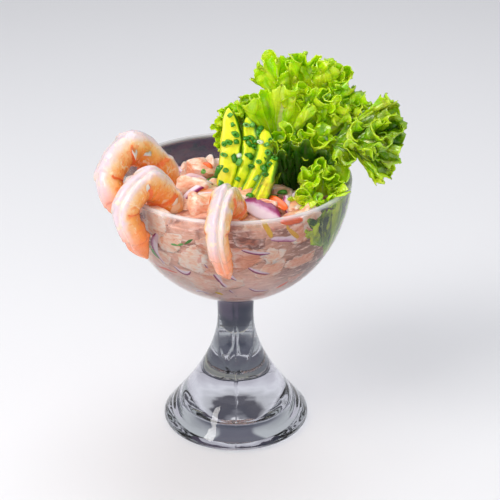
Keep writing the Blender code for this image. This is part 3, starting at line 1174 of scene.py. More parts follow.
@dataclass
class AvocadoFan:
    """Five slices fanned to the right, lemon yellow in front and green behind."""

    bench: Bench
    slices: tuple[Slice, ...] = (
        # The first slice's lower green is partly its broad yellow cut face, partly painted light
        # where it faces the lamps.
        Slice(((-4.4, -8, 124.2), (-2.4, -6, 133.3), (-1.4, -2, 143.6), (-2.5, 3, 156.6)),
              (7.2, 9, 10, 4.4), 6, (-0.1, -1, 0.4), green=0.27),
        Slice(((1.3, -13, 124.8), (5.4, -10, 133.4), (7.6, -5, 142.4), (5.7, 1, 153)),
              (5.4, 7.2, 8.6, 4.6), 5.5, (0.1, -1, 0.3)),
        Slice(((4.4, -18, 124.1), (11, -14, 135.5), (13.7, -9, 143), (13.4, -4, 149.2)),
              (4.8, 7.2, 7.6, 4.4), 4.8, (0.2, -1, 0.3)),
        Slice(((7.9, -23, 123.8), (12.3, -20.4, 130.5), (15.4, -16.2, 134.9), (17.7, -11, 139)),
              (4.4, 5.4, 5.8, 3.4), 4.2, (0.3, -1, 0.3)),
        Slice(((10.6, -28.5, 124.1), (12.4, -26.9, 129), (14.4, -23.6, 133.1),
               (16.7, -18.5, 138.6)), (5.6, 5.2, 4.4, 1.6), 4.4, (0.3, -1, 0.3), 0.6),
    )

    def shape(self, cut: Slice, seed: int) -> Piece:
        """Shape one slice: a bowed slab with a flat foot, ridged lengthwise by the knife.

        Args:
            cut: The slice.
            seed: Which unevenness it has.

        Returns:
            The slice.
        """
        piece, polar, turn = self.bench.ball("slice", 64, 110)
        part = np.clip((polar - 0.04) / 0.96, 0, 1)
        place, along = follow(cut.line, part, 0.01)
        face = np.array(cut.face, float)
        broad = unit(np.cross(np.broadcast_to(face, along.shape), along))
        flat = np.cross(along, broad)
        cap = np.clip(polar / 0.04, 0, 1) ** 0.45
        cap = cap * np.sqrt(np.clip(1 - (np.maximum(part - 0.86, 0) / 0.14) ** 2, 0, 1))
        width = np.interp(part, np.linspace(0, 1, len(cut.widths)), cut.widths)
        thick = cut.thickness * (0.8 + 0.2 * ease(part, 0, 0.4)) * (1 - 0.35 * part ** 3)
        x, y = squared(turn, 0.45)
        rough = Unevenness(seed)
        ridges = rough.at(np.stack([x * 2.6, y * 1.5, part * 2.2], -1), 0.9)
        ridges = ridges + 0.5 * rough.at(np.stack([x * 7, y * 3, part * 5 + 9], -1), 0.9)
        base = place + broad * (x * width / 2 * cap)[:, None]
        base += flat * (y * thick / 2 * cap)[:, None]
        dents = (0.25 * rough.at(base, 4) + 0.5 * ridges + 0.12 * rough.at(base + 20, 1.3))
        base += unit(base - place + 1e-6) * (dents * np.minimum(cap, 1))[:, None]
        base[:, 2] += 0.6 * x * (1 - cap) + 0.5 * rough.at(base + 40, 2) * (polar < 0.05)
        self.bench.settle(piece, base)
        # greener and darker at the side edges and on the back: partly the flesh near the rind,
        # partly painted shade in the gaps between slices
        line = ease(np.abs(x), 0.74, 1) * 0.45 + ease(-y, 0.2, 1) * 0.3
        skin = cut.green - 0.28 * x + line + 0.26 * ridges
        warm = cut.warm * ease(part, 0, 0.2) * (1 - ease(part, 0.6, 0.9))
        self.bench.mark(piece, skin=np.clip(skin, 0, 1),
                        warm=warm + 0.25 * (1 - ease(part, 0, 0.04)))
        return piece

    def build(self) -> list[Piece]:
        """Shape and dress all five, which stand for the frame's nodes of their numbers."""
        finish = RipeAvocado().make()
        return [self.bench.hand_in(f"avocado_slice_{number}_flesh", [self.shape(cut, 39 + number)],
                                   Slot.AVOCADO, finish, f"avocado_slice_{number}")
                for number, cut in enumerate(self.slices, 1)]


# --- The lettuce ---


@dataclass(frozen=True)
class Frond:
    """One frilly blade that fans out of a point.

    Its rays start at the foot, lean one way and bend over towards the face; its
    edge is ruffled more and more finely, and toothed. Deep is its painted shade,
    and a negative deep gives its crests a stronger painted highlight.
    """

    seed: int
    foot: Point
    lean: Point
    face: Point
    reach: float
    spread: float
    bend: float
    deep: float
    ruffle: float = 1
    pale: float = 1
    shorter: float = 0.1
    folds: float = 1
    cup: float = 2
    pressed: bool = False


@dataclass
class LettuceLeaf:
    """A leaf of one or more frilly blades that grow from about the same place."""

    bench: Bench
    name: str
    fronds: tuple[Frond, ...]
    wall: BowlCurve
    rim_height: float = 126.8
    thickness: float = 0.42
    fineness: float = 0.42

    def base(self, frond: Frond, u: Array, v: Array, uneven: Unevenness) -> Array:
        """The blade's broad shape before its ruffles.

        Args:
            frond: The blade.
            u: Across it, from -1 to 1.
            v: From 0 at the foot to 1 at the edge.
            uneven: Its unevenness.

        Returns:
            The places.
        """
        lean = unit(np.array(frond.lean, float))
        side = unit(np.cross(lean, np.array(frond.face, float)))
        face = np.cross(side, lean)
        turn = np.radians(frond.spread) * u
        ray = (lean * np.cos(turn)[..., None] + side * np.sin(turn)[..., None])
        count = np.stack([u * 3, 0 * u, 0 * u], -1)
        along = u * frond.spread * frond.reach / 57.3 + 1.5 * uneven.at(count, 0.3)
        lobes = np.abs(np.sin(math.pi * along / 6.5)) ** 0.6 - 0.6
        notches = np.abs(np.sin(math.pi * along / 1.9 + 4 * uneven.at(count, 0.2))) ** 0.7 - 0.6
        length = frond.reach * (1 - frond.shorter * np.abs(u) ** 1.7
                                + 0.08 * uneven.at(count, 0.55))
        reach = length * v + 2 * lobes * v ** 4 + 0.8 * notches * v ** 9
        bend = frond.bend * (1 + 0.5 * uneven.at(count + 20, 0.8))
        bend = np.where(np.abs(bend) < 0.02, 0.02, bend) / frond.reach
        angle = bend * reach
        places = np.array(frond.foot, float) + ray * (np.sin(angle) / bend)[..., None]
        places += face * ((1 - np.cos(angle)) / bend)[..., None]
        places += face * (frond.cup * u * u * v)[..., None]
        wide = np.stack([u * 2, v * 1.2, 0 * u], -1)
        return places + face * (0.09 * frond.reach * uneven.at(wide + 5, 0.5) * v)[..., None]

    def blade(self, number: int, frond: Frond) -> Piece:
        """Shape one blade from a flat sheet.

        Args:
            number: Which blade it is.
            frond: Its sizes.

        Returns:
            The blade, with its thickness.
        """
        arc = 2 * math.radians(frond.spread) * frond.reach
        columns = int(np.clip(arc / self.fineness, 44, 150))
        lines = int(np.clip(frond.reach / 0.75, 18, 34))
        piece = self.bench.sheet(f"{self.name}_blade_{number}", columns, lines)
        flat = self.bench.read(piece)
        order = np.lexsort((flat[:, 0].round(5), flat[:, 1].round(5)))
        rows = len(np.unique(flat[:, 1].round(5)))
        u = flat[order, 0].reshape(rows, -1)
        v = 1 - (1 - (flat[order, 1].reshape(rows, -1) + 1) / 2) ** 1.35
        v = 0.06 + 0.94 * v
        uneven = Unevenness(frond.seed)
        places = self.base(frond, u, v, uneven)
        along = np.gradient(places, axis=0)
        across = np.gradient(places, axis=1)
        normal = unit(np.cross(across, along))
        side = unit(across)
        spot = np.stack([u * 2, v * 0.8, 0 * u], -1)
        drift = uneven.at(spot + 3, 0.35)
        relief = 0 * u
        for depth, wave, start, count in ((3.8, 21, 0, 0), (2.7, 9, 0.15, 1), (1.1, 4.2, 0.45, 2)):
            turns = arc / 2 / wave
            phase = math.tau * (turns * (u + 0.1 * drift)) + 1.7 * count + frond.seed
            phase = phase + 1.8 * uneven.at(spot * (1, 2 + 2 * count, 1) + 11 * count, 0.5)
            grow = ease(v, start, 1.08) ** 1.2
            size = depth * frond.ruffle * grow * (0.75 + 0.55 * uneven.at(spot + 7 * count, 0.3))
            if count:
                size = size * frond.folds
            if count < 2:
                relief = relief + size * np.sin(phase) / depth
            places = places + normal * (size * np.sin(phase))[..., None]
            places = places - side * (0.42 * size * np.sin(2 * phase))[..., None]
        places = places + normal * (0.32 * uneven.at(places, 1.7))[..., None]
        veins = np.abs(((u * 4.2 + 0.5 * drift) % 1) - 0.5) * 2
        rib = (1 - ease(veins, 0, 0.1 + 0.1 * (1 - v))) * (1 - ease(v, 0.4, 0.75)) * 0.3
        middle = 1 - ease(np.abs(u + 0.08 * drift), 0, 0.1 * (1.3 - v))
        rib = np.maximum(rib, middle * (1 - ease(v, 0.55, 0.95)))
        rib = np.maximum(rib, 0.5 * (1 - ease(v, 0.05, 0.22))) * frond.pale
        reach = np.hypot(places[..., 0], places[..., 1])
        room = self.wall.radius(places[..., 2]) + 0.1
        room += np.maximum(0, places[..., 2] - self.rim_height) * 5
        room += 100 * (frond.foot[2] > self.rim_height)
        kept = np.minimum(reach, room)
        hollow = np.zeros_like(kept)
        if frond.pressed:
            hollow = np.clip((room + 1 - reach) / 5, 0, 1)
            kept = room + 0.5 - 0.35 * hollow
        places[..., :2] *= (kept / reach)[..., None]
        back = np.empty_like(order)
        back[order] = np.arange(len(order))
        self.bench.settle(piece, places.reshape(-1, 3)[back])
        marks = {
            "rib": rib,
            # the yellow rim fades in fronds under painted shade
            "rim": ease(v, 0.9, 1) * (0.45 + 0.4 * np.clip(drift + 0.5, 0, 1))
            * (1 - 0.8 * max(frond.deep, 0)),
            # painted shade: fronds deep in the head, ruffle troughs and hollows behind the glass
            # darker
            "deep": np.clip(max(frond.deep, 0) + 0.3 * (1 - v) * (frond.deep > 0.3)
                            + 0.12 * drift + 0.8 * hollow + 0.34 * ease(-relief, 0.1, 1.3), 0, 1),
            # painted highlight: the crests of the ruffles lighter
            "crest_highlight": ease(relief, 0.1, 1.3) * (1 - frond.deep),
        }
        self.bench.mark(piece, **{name: values.ravel()[back] for name, values in marks.items()})
        self.bench.pick(piece)
        sheet = piece.modifiers.new("Thickness", "SOLIDIFY")
        sheet.thickness, sheet.offset, sheet.use_even_offset = self.thickness * MM, 0, False
        bpy.ops.object.modifier_apply(modifier=sheet.name)
        return piece

    def build(self, finish: Material) -> Piece:
        """Shape, join and dress the leaf, which stands for the frame's node of its name."""
        blades = [self.blade(*numbered) for numbered in enumerate(self.fronds)]
        return self.bench.hand_in(f"frilly_{self.name}", blades, Slot.LETTUCE, finish, self.name)


FRONT, UP, OUT, REAR = (0, -1, 0.2), (0, -0.7, 0.9), (0.75, -0.65, 0), (0, 1, 0.1)
# Each frond's eighth number is its painted shade; a negative one gives its crests a stronger
# painted highlight.
LEAVES = (
    (  # The head.
        Frond(61, (25.5, 13, 152), (-0.33, 0.15, 0.94), FRONT, 26.5, 30, 0.3, 0, 0.9, 1.8,
              shorter=0.05, folds=0.5),
        Frond(62, (32, 15, 151), (0.06, 0.17, 0.98), FRONT, 25, 46, 0.4, 0.05, shorter=0.08),
        Frond(68, (2.4, 8, 143), (-0.91, -0.15, 0.39), FRONT, 13, 66, 0.4, 0.05, 0.8, cup=1),
        Frond(69, (3.4, 10, 146), (-0.36, 0.18, 0.91), FRONT, 11, 70, 0.4, 0.1, 0.8, cup=1),
        Frond(75, (10, 11, 149.5), (-0.2, 0.21, 0.96), FRONT, 11, 76, 0.4, 0.05, 0.9, cup=1),
        Frond(70, (15, 12, 122), (0.05, 0.1, 1), FRONT, 36, 26, 0.3, 0.35, 0.6),
        Frond(71, (5, 9, 126), (-0.06, 0.1, 1), FRONT, 28, 26, 0.3, 0.4, 0.6),
        Frond(72, (28, 15, 134), (0, 0.1, 1), FRONT, 30, 36, 0.3, 0.3, 0.8),
        Frond(41, (14, 15, 123), (-0.18, 0.1, 1), REAR, 24, 44, 0.4, 0.1),
        Frond(42, (27, 18, 122), (0, 0.06, 1), REAR, 32, 40, 0.4, 0.1),
        Frond(43, (22, 20, 121), (-0.1, 0.14, 1), REAR, 18, 60, 0.8, 0.15),
    ),
    (  # The back right.
        Frond(84, (39, 14, 154), (0.15, 0.24, 0.96), FRONT, 20, 40, 0.5, 0.1),
        Frond(85, (44, 12, 150), (0.69, 0.24, 0.68), FRONT, 17, 50, 0.5, 0.2),
        Frond(86, (48, 10, 145), (0.74, 0.2, 0.64), FRONT, 14, 46, 0.4, 0.6, 0.8),
        Frond(88, (36, 9, 143.5), (0.17, 0.05, 0.98), FRONT, 22, 44, 0.6, -0.4),
        Frond(89, (40, 6, 140), (0.52, 0.12, 0.84), FRONT, 18, 50, 0.6, 0.15),
        Frond(63, (37, 10, 126), (0.1, 0.05, 1), FRONT, 34, 26, 0.2, 0.6, 0.6),
        Frond(44, (39, 16, 124), (0.12, 0.06, 1), REAR, 28, 42, 0.4, 0.1),
        Frond(45, (34, 22, 121), (0.1, 0.14, 1), REAR, 16, 60, 0.8, 0.1),
    ),
    (  # The middle.
        Frond(64, (20, 4, 134), (0.02, 0.04, 0.99), FRONT, 34, 34, 0.4, -0.3, 0.85, 3, folds=0.42,
              cup=3),
        Frond(87, (30, 9, 142), (0.1, 0.04, 1), FRONT, 26, 38, 0.7, -0.5, 0.8, 2.4, folds=0.5),
        Frond(73, (23, 1, 127), (-0.05, 0.02, 0.99), FRONT, 20, 50, 0.9, -0.5, folds=0.75),
        Frond(90, (29, 1, 132), (0.09, 0.1, 0.99), FRONT, 20, 56, 0.9, -0.2),
        Frond(91, (36, 0, 128), (0.4, 0.1, 0.91), FRONT, 20, 52, 0.8, 0.2),
        Frond(65, (23, -6, 112), (0.03, 0, 1), FRONT, 30, 30, 0.3, 1, 0.4, 0),
        Frond(76, (28, -7, 112), (0.02, 0.03, 1), FRONT, 33, 30, 0.3, 1, 0.5, 0),
        Frond(74, (17, -9, 117), (0.01, 0.04, 1), (-0.5, -1, 0.1), 28, 13, 0.2, 0.6, 0.4, 0.2),
    ),
    (  # The arm to the right.
        Frond(66, (46, 2, 146), (0.9, -0.15, 0.4), UP, 28, 15, 0.3, 0.3, 0.7, shorter=0.05),
        Frond(92, (46, 0, 146), (0.97, -0.22, 0.12), UP, 28, 26, 0.3, 0.65, 0.9, shorter=0.05),
        Frond(77, (47, -3, 145), (0.95, -0.22, -0.23), FRONT, 27, 24, 0.3, 0.6, 0.9, shorter=0.05),
        Frond(93, (51, -6, 142), (0.78, -0.23, -0.56), FRONT, 21, 17, 0.3, 0.25, 0.9, shorter=0.05),
        Frond(78, (43, -4, 143), (0.9, -0.44, 0.02), UP, 15, 64, 0.7, 0.42),
        Frond(79, (53, -8, 145.5), (0.91, -0.42, 0.01), UP, 15, 60, 0.7, 0.42),
        Frond(97, (43, 4, 142), (0.95, 0.05, 0.25), FRONT, 22, 24, 0.2, 0.85, 0.6, 0.3),
    ),
    (  # The rosette at the rim and what shows in the glass.
        Frond(67, (36, -15, 121), (-0.52, -0.19, 0.84), UP, 19, 56, 0.8, 0.1, 0.9),
        Frond(80, (38.5, -14, 121), (0.04, -0.14, 0.99), UP, 16, 56, 0.8, 0.05, 0.9),
        Frond(81, (42, -14, 121), (0.62, -0.16, 0.77), UP, 13, 60, 0.8, 0.15, 0.9),
        Frond(94, (35, -21, 120), (-0.7, -0.3, 0.66), UP, 17, 60, 1, 0.05, 0.9),
        Frond(95, (38.5, -21, 120), (-0.05, -0.42, 0.9), UP, 13, 66, 1, 0, 0.9),
        Frond(96, (42, -18, 121), (0.63, -0.5, 0.6), UP, 9, 70, 0.9, 0.1, 0.9),
        Frond(82, (31, -23, 115), (-0.27, -0.25, 0.93), FRONT, 9, 70, 0.6, 0.1, 0.7),
        Frond(83, (38, -19, 95), (0.08, -0.1, 1), OUT, 29, 32, 0.1, 0.1, 1.2, 1.6, pressed=True),
        Frond(98, (35, -26, 104), (-0.22, -0.2, 1), OUT, 18, 42, 0.1, 0, 1.2, 1.6, pressed=True),
        Frond(99, (44, -4, 99), (0.1, 0.05, 1), (1, -0.2, 0), 25, 34, 0.1, 0.1, 1.2, 1.6,
              pressed=True),
    ),
)


# --- Fish, onion, pepper and herbs ---


@dataclass(frozen=True)
class Chunk:
    """One cut of fish: its middle, size, turn, and paleness, partly painted light and shade."""

    place: Point
    size: Point
    turn: Point
    shade: float


@dataclass
class FishCuts:
    """The cut fish: a layer pressed against the wall and a heap on top."""

    bench: Bench
    filling: Filling
    # Each cut's last number is its paleness, partly its own tone and partly painted light and shade
    # where it lies.
    chosen: tuple[Chunk, ...] = tuple(Chunk(*row) for row in (
        ((-14, 3.5, 125.5), (15, 10, 12), (20, 10, 25), 0.3),
        ((-18.1, -13, 125), (14, 11, 11), (-25, 20, -20), 0.5),
        ((-22, 3, 122), (11, 9, 9), (10, -20, 40), 0.35),
        ((-14.5, -26.5, 122), (14, 10, 10), (15, 15, 30), 0.45),
        ((-21.5, -20, 119.5), (9, 8, 8), (0, 30, 60), 0.45),
        ((26, -27.6, 121.6), (12, 9, 9), (10, -15, -20), 0.3),
        ((31, -30.5, 119.5), (9, 8, 8), (30, 0, 15), 0.35),
        ((15.3, -43, 109.5), (11, 9, 10), (10, 35, 20), 0.75),
        ((27.5, -37.8, 117.5), (15, 9, 11), (0, -10, 36), 0.15),
        ((-18.6, -41.5, 107), (15, 10, 16), (0, 20, -24), 0.8),
        ((-12, -45.2, 114), (9, 9, 9), (20, -30, -10), 0.45),
        ((-26.5, -38, 112), (14, 9, 10), (0, -10, -34), 0.6),
        ((-33.5, -34, 119), (16, 8, 12), (0, 0, -44), 0.85),
        ((-30.5, -30.5, 103), (10, 8, 10), (0, 30, -44), 0.55),
        ((26, -31, 102), (18, 10, 10), (0, 15, 40), 0.3),
        ((12.5, -39, 100), (15, 9, 9), (0, -10, 15), 0.35),
        ((6.5, -46.6, 117), (14, 8, 8), (0, 10, 8), -0.45),
        ((31.5, -36.5, 122.5), (12, 7, 8), (0, -20, 40), 0.5),
    ))
    bare: tuple[tuple[float, float], ...] = ((5.5, -34), (12.5, -38), (19, -38))
    bare_radius: float = 7
    rings: tuple[float, ...] = (81, 91, 100, 109, 117.5)
    wall_cut: Point = (13.5, 8.5, 11)
    top_cut: Point = (11.5, 9, 8.5)
    pitch: float = 13
    spacing: float = 8.6
    clearance: float = 9.5
    tries: int = 1500
    reach: float = 45
    cuts: int = 6
    seed: int = 5

    def behind_lettuce(self, spot: Array, height: float) -> bool:
        """Whether a place against the wall is where the lettuce presses."""
        return spot[0] > 27 and -34 < spot[1] < 4 and height > 97

    def layer(self, random: Chance) -> list[Chunk]:
        """Cuts all around the wall, ring above ring, away from the chosen ones.

        Args:
            random: The source of chance.

        Returns:
            The cuts.
        """
        made = []
        for ring, level in enumerate(self.rings):
            count = int(math.tau * float(self.filling.wall.radius(np.array(level))) / self.pitch)
            for step in range(count):
                along = 360 * (step + 0.5 * (ring % 2) + random.uniform(-0.3, 0.3)) / count
                height = level + random.uniform(-2.5, 2.5)
                size = random.uniform(0.8, 1.35) * np.array(self.wall_cut)
                spot = self.filling.on_wall(along, height, random.uniform(1.2, 3.4))
                near = min(math.dist(spot, chunk.place) for chunk in self.chosen)
                hidden = near < self.clearance or self.behind_lettuce(spot, height)
                if hidden or self.filling.surface(spot[0], spot[1]) < height - 1:
                    continue
                turn = (random.uniform(-35, 35), random.uniform(-35, 35),
                        along + 90 + random.uniform(-25, 25))
                # painted shade: cuts to the right of the wall darker, away from the key lamp; the
                # rest is random tone
                shade = random.uniform(0.2, 1.15) - 0.95 * float(ease(spot[0], -8, 34))
                made.append(Chunk(tuple(spot), tuple(size), turn, shade))
        return made

    def heap(self, random: Chance) -> list[Chunk]:
        """Cuts half sunk in the surface, apart from each other.

        Args:
            random: The source of chance.

        Returns:
            The cuts.
        """
        taken = [np.array(chunk.place[:2]) for chunk in self.chosen]
        made = []
        for _ in range(self.tries):
            radius = self.reach * math.sqrt(random.uniform(0, 1))
            along = random.uniform(0, math.tau)
            spot = np.array([radius * math.cos(along), radius * math.sin(along)])
            if min(np.hypot(*(spot - other)) for other in taken) < self.spacing:
                continue
            taken.append(spot)
            level = float(self.filling.surface(spot[0], spot[1]))
            size = random.uniform(0.75, 1.15) * np.array(self.top_cut)
            turn = (*random.uniform(-40, 40, 2), random.uniform(0, 360))
            chunk = Chunk((*spot, level + random.uniform(-1.5, 1)), tuple(size), turn,
                          random.uniform(0.1, 0.8))
            if min(math.dist(spot, place) for place in self.bare) > self.bare_radius:
                made.append(chunk)
        return made

    def carve(self, cube: Array, chunk: Chunk, number: int) -> Array:
        """Carve one cut from a cube's points: rounded, skewed, trimmed and lumpy.

        Args:
            cube: The points, from -1 to 1.
            chunk: The cut.
            number: Which cut it is.

        Returns:
            Its points.
        """
        random = np.random.default_rng(700 + number)
        shape = cube / ((np.abs(cube) ** 5).sum(1) ** 0.2)[:, None]
        shape[:, 0] += random.uniform(-0.3, 0.3) * shape[:, 1]
        shape[:, 1] += random.uniform(-0.3, 0.3) * shape[:, 2]
        shape[:, :2] *= 1 + random.uniform(-0.25, 0.25) * shape[:, 2:]
        for _ in range(3):
            way = unit(random.normal(size=3))
            over = np.maximum(0, shape @ way - random.uniform(0.62, 0.88))
            shape -= way * over[:, None]
        places = shape * np.array(chunk.size) / 2
        rough = Unevenness(number % 17)
        shift = 13 * number
        lumps = 0.8 * rough.at(places + shift, 3.6) + 0.42 * rough.at(places + shift, 1.7)
        places = places + unit(places) * lumps[:, None]
        spin = Euler([math.radians(angle) for angle in chunk.turn]).to_matrix()
        return places @ np.array(spin).T + np.array(chunk.place)

    def build(self) -> Piece:
        """Carve, join and dress every cut.

        Returns:
            The finished piece.
        """
        random = np.random.default_rng(self.seed)
        master = self.bench.block("fish_cut", self.cuts)
        cube = self.bench.read(master)
        middle = np.sort(np.abs(cube), axis=1)[:, 1]
        pieces = []
        for number, chunk in enumerate([*self.chosen, *self.layer(random), *self.heap(random)]):
            piece = self.bench.copy(master, f"fish_{number}")
            raw = self.carve(cube, chunk, number)
            places = self.filling.press(raw, 0.2)
            moved = np.linalg.norm(raw - places, axis=1)
            reach = self.filling.wall.radius(places[:, 2]) - np.hypot(places[:, 0], places[:, 1])
            low = 1.6 * (1 - ease(places[:, 2], 86, 104))
            self.bench.settle(piece, places)
            self.bench.mark(piece, edge=ease(middle, 0.5, 1), shade=chunk.shade,
                            soak=(1 - ease(reach, 0, 0.8)) * (low + 1 - ease(moved, 0, 0.9)))
            pieces.append(piece)
        bpy.data.objects.remove(master)
        return self.bench.hand_in("marinated_fish_cuts", pieces, Slot.MIX, RawFish().make())


@dataclass(frozen=True)
class Strip:
    """A thin strip: its middle line, its size, the way its broad side faces and its look.

    A strip that faces nowhere lies on the bowl's wall; its line is then given as turn
    about the axis and height.
    """

    line: Line
    width: float
    thickness: float
    face: Optional[Point]
    look: float
    blunt: float = 0.6


@dataclass
class Garnish:
    """Thin cut things strewn through the heap; each kind says which and how many."""

    bench: Bench
    filling: Filling
    kind: str = ""
    title: str = ""
    slot: Slot = Slot.MIX
    finish: CutGarnish = FRESH_CHIVE
    chosen: tuple[Strip, ...] = ()
    shapes_from: int = 0
    seed: int = 0
    around: int = 12
    along: int = 30

    def shape(self, name: str, strip: Strip, seed: int) -> tuple[Piece, Array]:
        """Shape one strip.

        Args:
            name: Its name.
            strip: Its sizes.
            seed: Which unevenness it has.

        Returns:
            The strip, and where each point lies across it, from -1 to 1.
        """
        piece, part, turn = self.bench.ball(name, self.around, self.along)
        knots = np.array(strip.line, float)
        if strip.face is None:
            knots = self.filling.on_wall(knots[:, 0], knots[:, 1], strip.thickness / 2 - 0.4)
        middle, along = follow(knots, part, 0.02)
        if strip.face is None:
            steep = np.maximum(self.filling.wall.centre - middle[:, 2], 1) ** 2 / 60
            face = unit(middle * np.array([1, 1, 0]) - steep[:, None] * np.array([0, 0, 1]))
        else:
            face = np.broadcast_to(unit(np.array(strip.face, float)), along.shape)
        across = unit(np.cross(along, face))
        out = np.cross(across, along)
        ends = np.clip(np.sin(math.pi * part), 0, 1) ** strip.blunt
        rough = Unevenness(seed)
        wide = strip.width / 2 * ends * (1 + 0.25 * rough.at(middle, strip.width * 1.5))
        thick = strip.thickness / 2 * np.minimum(1, ends * 1.5)
        x, y = squared(turn, 0.7)
        places = middle + across * (x * wide)[:, None] + out * (y * thick)[:, None]
        places += out * (0.3 * rough.at(middle + 30, 3))[:, None]
        self.bench.settle(piece, self.filling.press(places, 0.24 + 0.02 * (seed % 5)))
        return piece, x

    def on_wall(self, random: Chance, limits: Sequence[Sequence[float]], knots: int,
                thickness: float, blunt: float = 0.6, bow: float = 0) -> Strip:
        """A strip at random on the wall.

        Args:
            random: The source of chance.
            limits: Of its first turn and height, how far it turns and climbs, its width
                and its look.
            knots: How many points its line has.
            thickness: Its thickness.
            blunt: How blunt its ends are.
            bow: How far its line may bow.

        Returns:
            The strip.
        """
        along, height, turn, climb = (random.uniform(*pair) for pair in limits[:4])
        rise = random.uniform(-bow, bow) if bow else 0
        parts = [k / (knots - 1) for k in range(knots)]
        line = tuple((along + turn * part, height + climb * part + rise * math.sin(math.pi * part))
                     for part in parts)
        width, look = (random.uniform(*pair) for pair in limits[4:])
        return Strip(line, width, thickness, None, look, blunt)

    def strewn(self, random: Chance) -> list[Strip]:
        """The strips at random, none unless a kind says so."""
        return []

    def tone(self, strip: Strip, across: Array) -> Array:
        """What the finish reads at each point of a strip."""
        return np.full(len(across), strip.look)

    def build(self) -> Piece:
        """Shape, join and dress the strips.

        Returns:
            The finished piece.
        """
        strips = [*self.chosen, *self.strewn(np.random.default_rng(self.seed))]
        pieces = []
        for number, strip in enumerate(strips):
            piece, across = self.shape(f"{self.kind}_{number}", strip, self.shapes_from + number)
            self.bench.mark(piece, **{self.finish.number: self.tone(strip, across)})
            pieces.append(piece)
        return self.bench.hand_in(self.title, pieces, self.slot, self.finish.make())


@dataclass
class OnionSlivers(Garnish):
    """Red onion: pale slivers with a purple edge, on the wall and in the heap."""

    kind: str = "onion"
    title: str = "red_onion_slivers"
    slot: Slot = Slot.ONION
    finish: CutGarnish = RED_ONION
    chosen: tuple[Strip, ...] = (
        Strip(((19.5, -38, 121.6), (13.6, -35.2, 123.6), (8, -31.4, 124.8), (1.5, -28, 124.4)),
              10, 1.8, (0.1, -0.75, 1), 1.25),
        Strip(((22.2, -26.1, 127.4), (22.2, -29.4, 125), (22.6, -33, 121.8)), 3, 1.2,
              (0.2, -1, 0.2), 0.55, 0.4),
        Strip(((-23.6, -21.6, 122.4), (-19, -20.6, 126.6), (-13.6, -15, 127.8),
               (-9.4, -10.6, 126.4)), 3.8, 1.2, (-0.3, -1, 0.8), 0.75),
        Strip(((-24, -2.5, 125.6), (-18, -2, 126.2), (-11, -5, 124)), 3.4, 1.3, (0, -0.6, 1),
              0.55),
        Strip(((-18, -23.5, 124.6), (-13.5, -20.8, 125.6), (-8.5, -19.5, 125.2)), 2.2, 1,
              (0, -1, 0.8), 0.85, 0.5),
        Strip(((24.5, -19.8, 124.6), (28.5, -21.8, 125), (33, -25, 123.6)), 3.6, 1.4,
              (0, -1, 0.9), 0.2, 0.5),
        Strip(((-130, 117), (-135, 111), (-137, 105), (-133, 97)), 4.2, 1.4, None, 0.7),
        Strip(((-108, 106), (-102, 99), (-97, 92), (-91, 86)), 2.6, 1, None, 0.95),
        Strip(((-96, 104), (-94, 99), (-89, 95)), 2.4, 1, None, 0.95, 0.5),
        Strip(((-105, 124), (-99, 119), (-96, 113)), 4.4, 1.2, None, 0.7),
        Strip(((-88, 113), (-80, 110.5), (-72, 109.5)), 2.6, 1, None, 0.95),
        Strip(((-86, 105), (-78, 100), (-68, 97.5)), 2.2, 1, None, 0.9),
        Strip(((-82, 90), (-74, 87), (-64, 86.5)), 1.8, 0.9, None, 0.9),
        Strip(((-74, 117), (-64, 116), (-58, 114)), 4, 1.2, None, 0.45),
    )
    shapes_from: int = 300
    on_the_wall: int = 30
    on_top: int = 16
    seed: int = 8

    def tone(self, strip: Strip, across: Array) -> Array:
        """How near the purple skin each point of a sliver is."""
        return np.clip(0.3 + strip.look * (across + 0.15), 0, 1)

    def strewn(self, random: Chance) -> list[Strip]:
        """Slivers at random: most on the wall, some on the surface.

        Args:
            random: The source of chance.

        Returns:
            The slivers.
        """
        limits = ((-40, 240), (80, 112), (8, 22), (-9, 9), (1.6, 3.6), (0.3, 1))
        made = [self.on_wall(random, limits, 4, 1.1, bow=4) for _ in range(self.on_the_wall)]
        for _ in range(self.on_top):
            x, y = random.uniform(-30, 30), random.uniform(2, 40)
            way, length = random.uniform(0, math.tau), random.uniform(5, 9)
            line = []
            for k in (-1, -0.3, 0.4, 1):
                bend = 0.5 * k * k
                px = x + length * (k * math.cos(way) - bend * math.sin(way))
                py = y + length * (k * math.sin(way) + bend * math.cos(way))
                line.append((px, py, float(self.filling.surface(px, py)) + 2.5 - 1.5 * k * k))
            made.append(Strip(tuple(line), random.uniform(2.2, 4), 1.2, (0.2, -0.6, 1),
                              random.uniform(0.4, 0.9)))
        return made


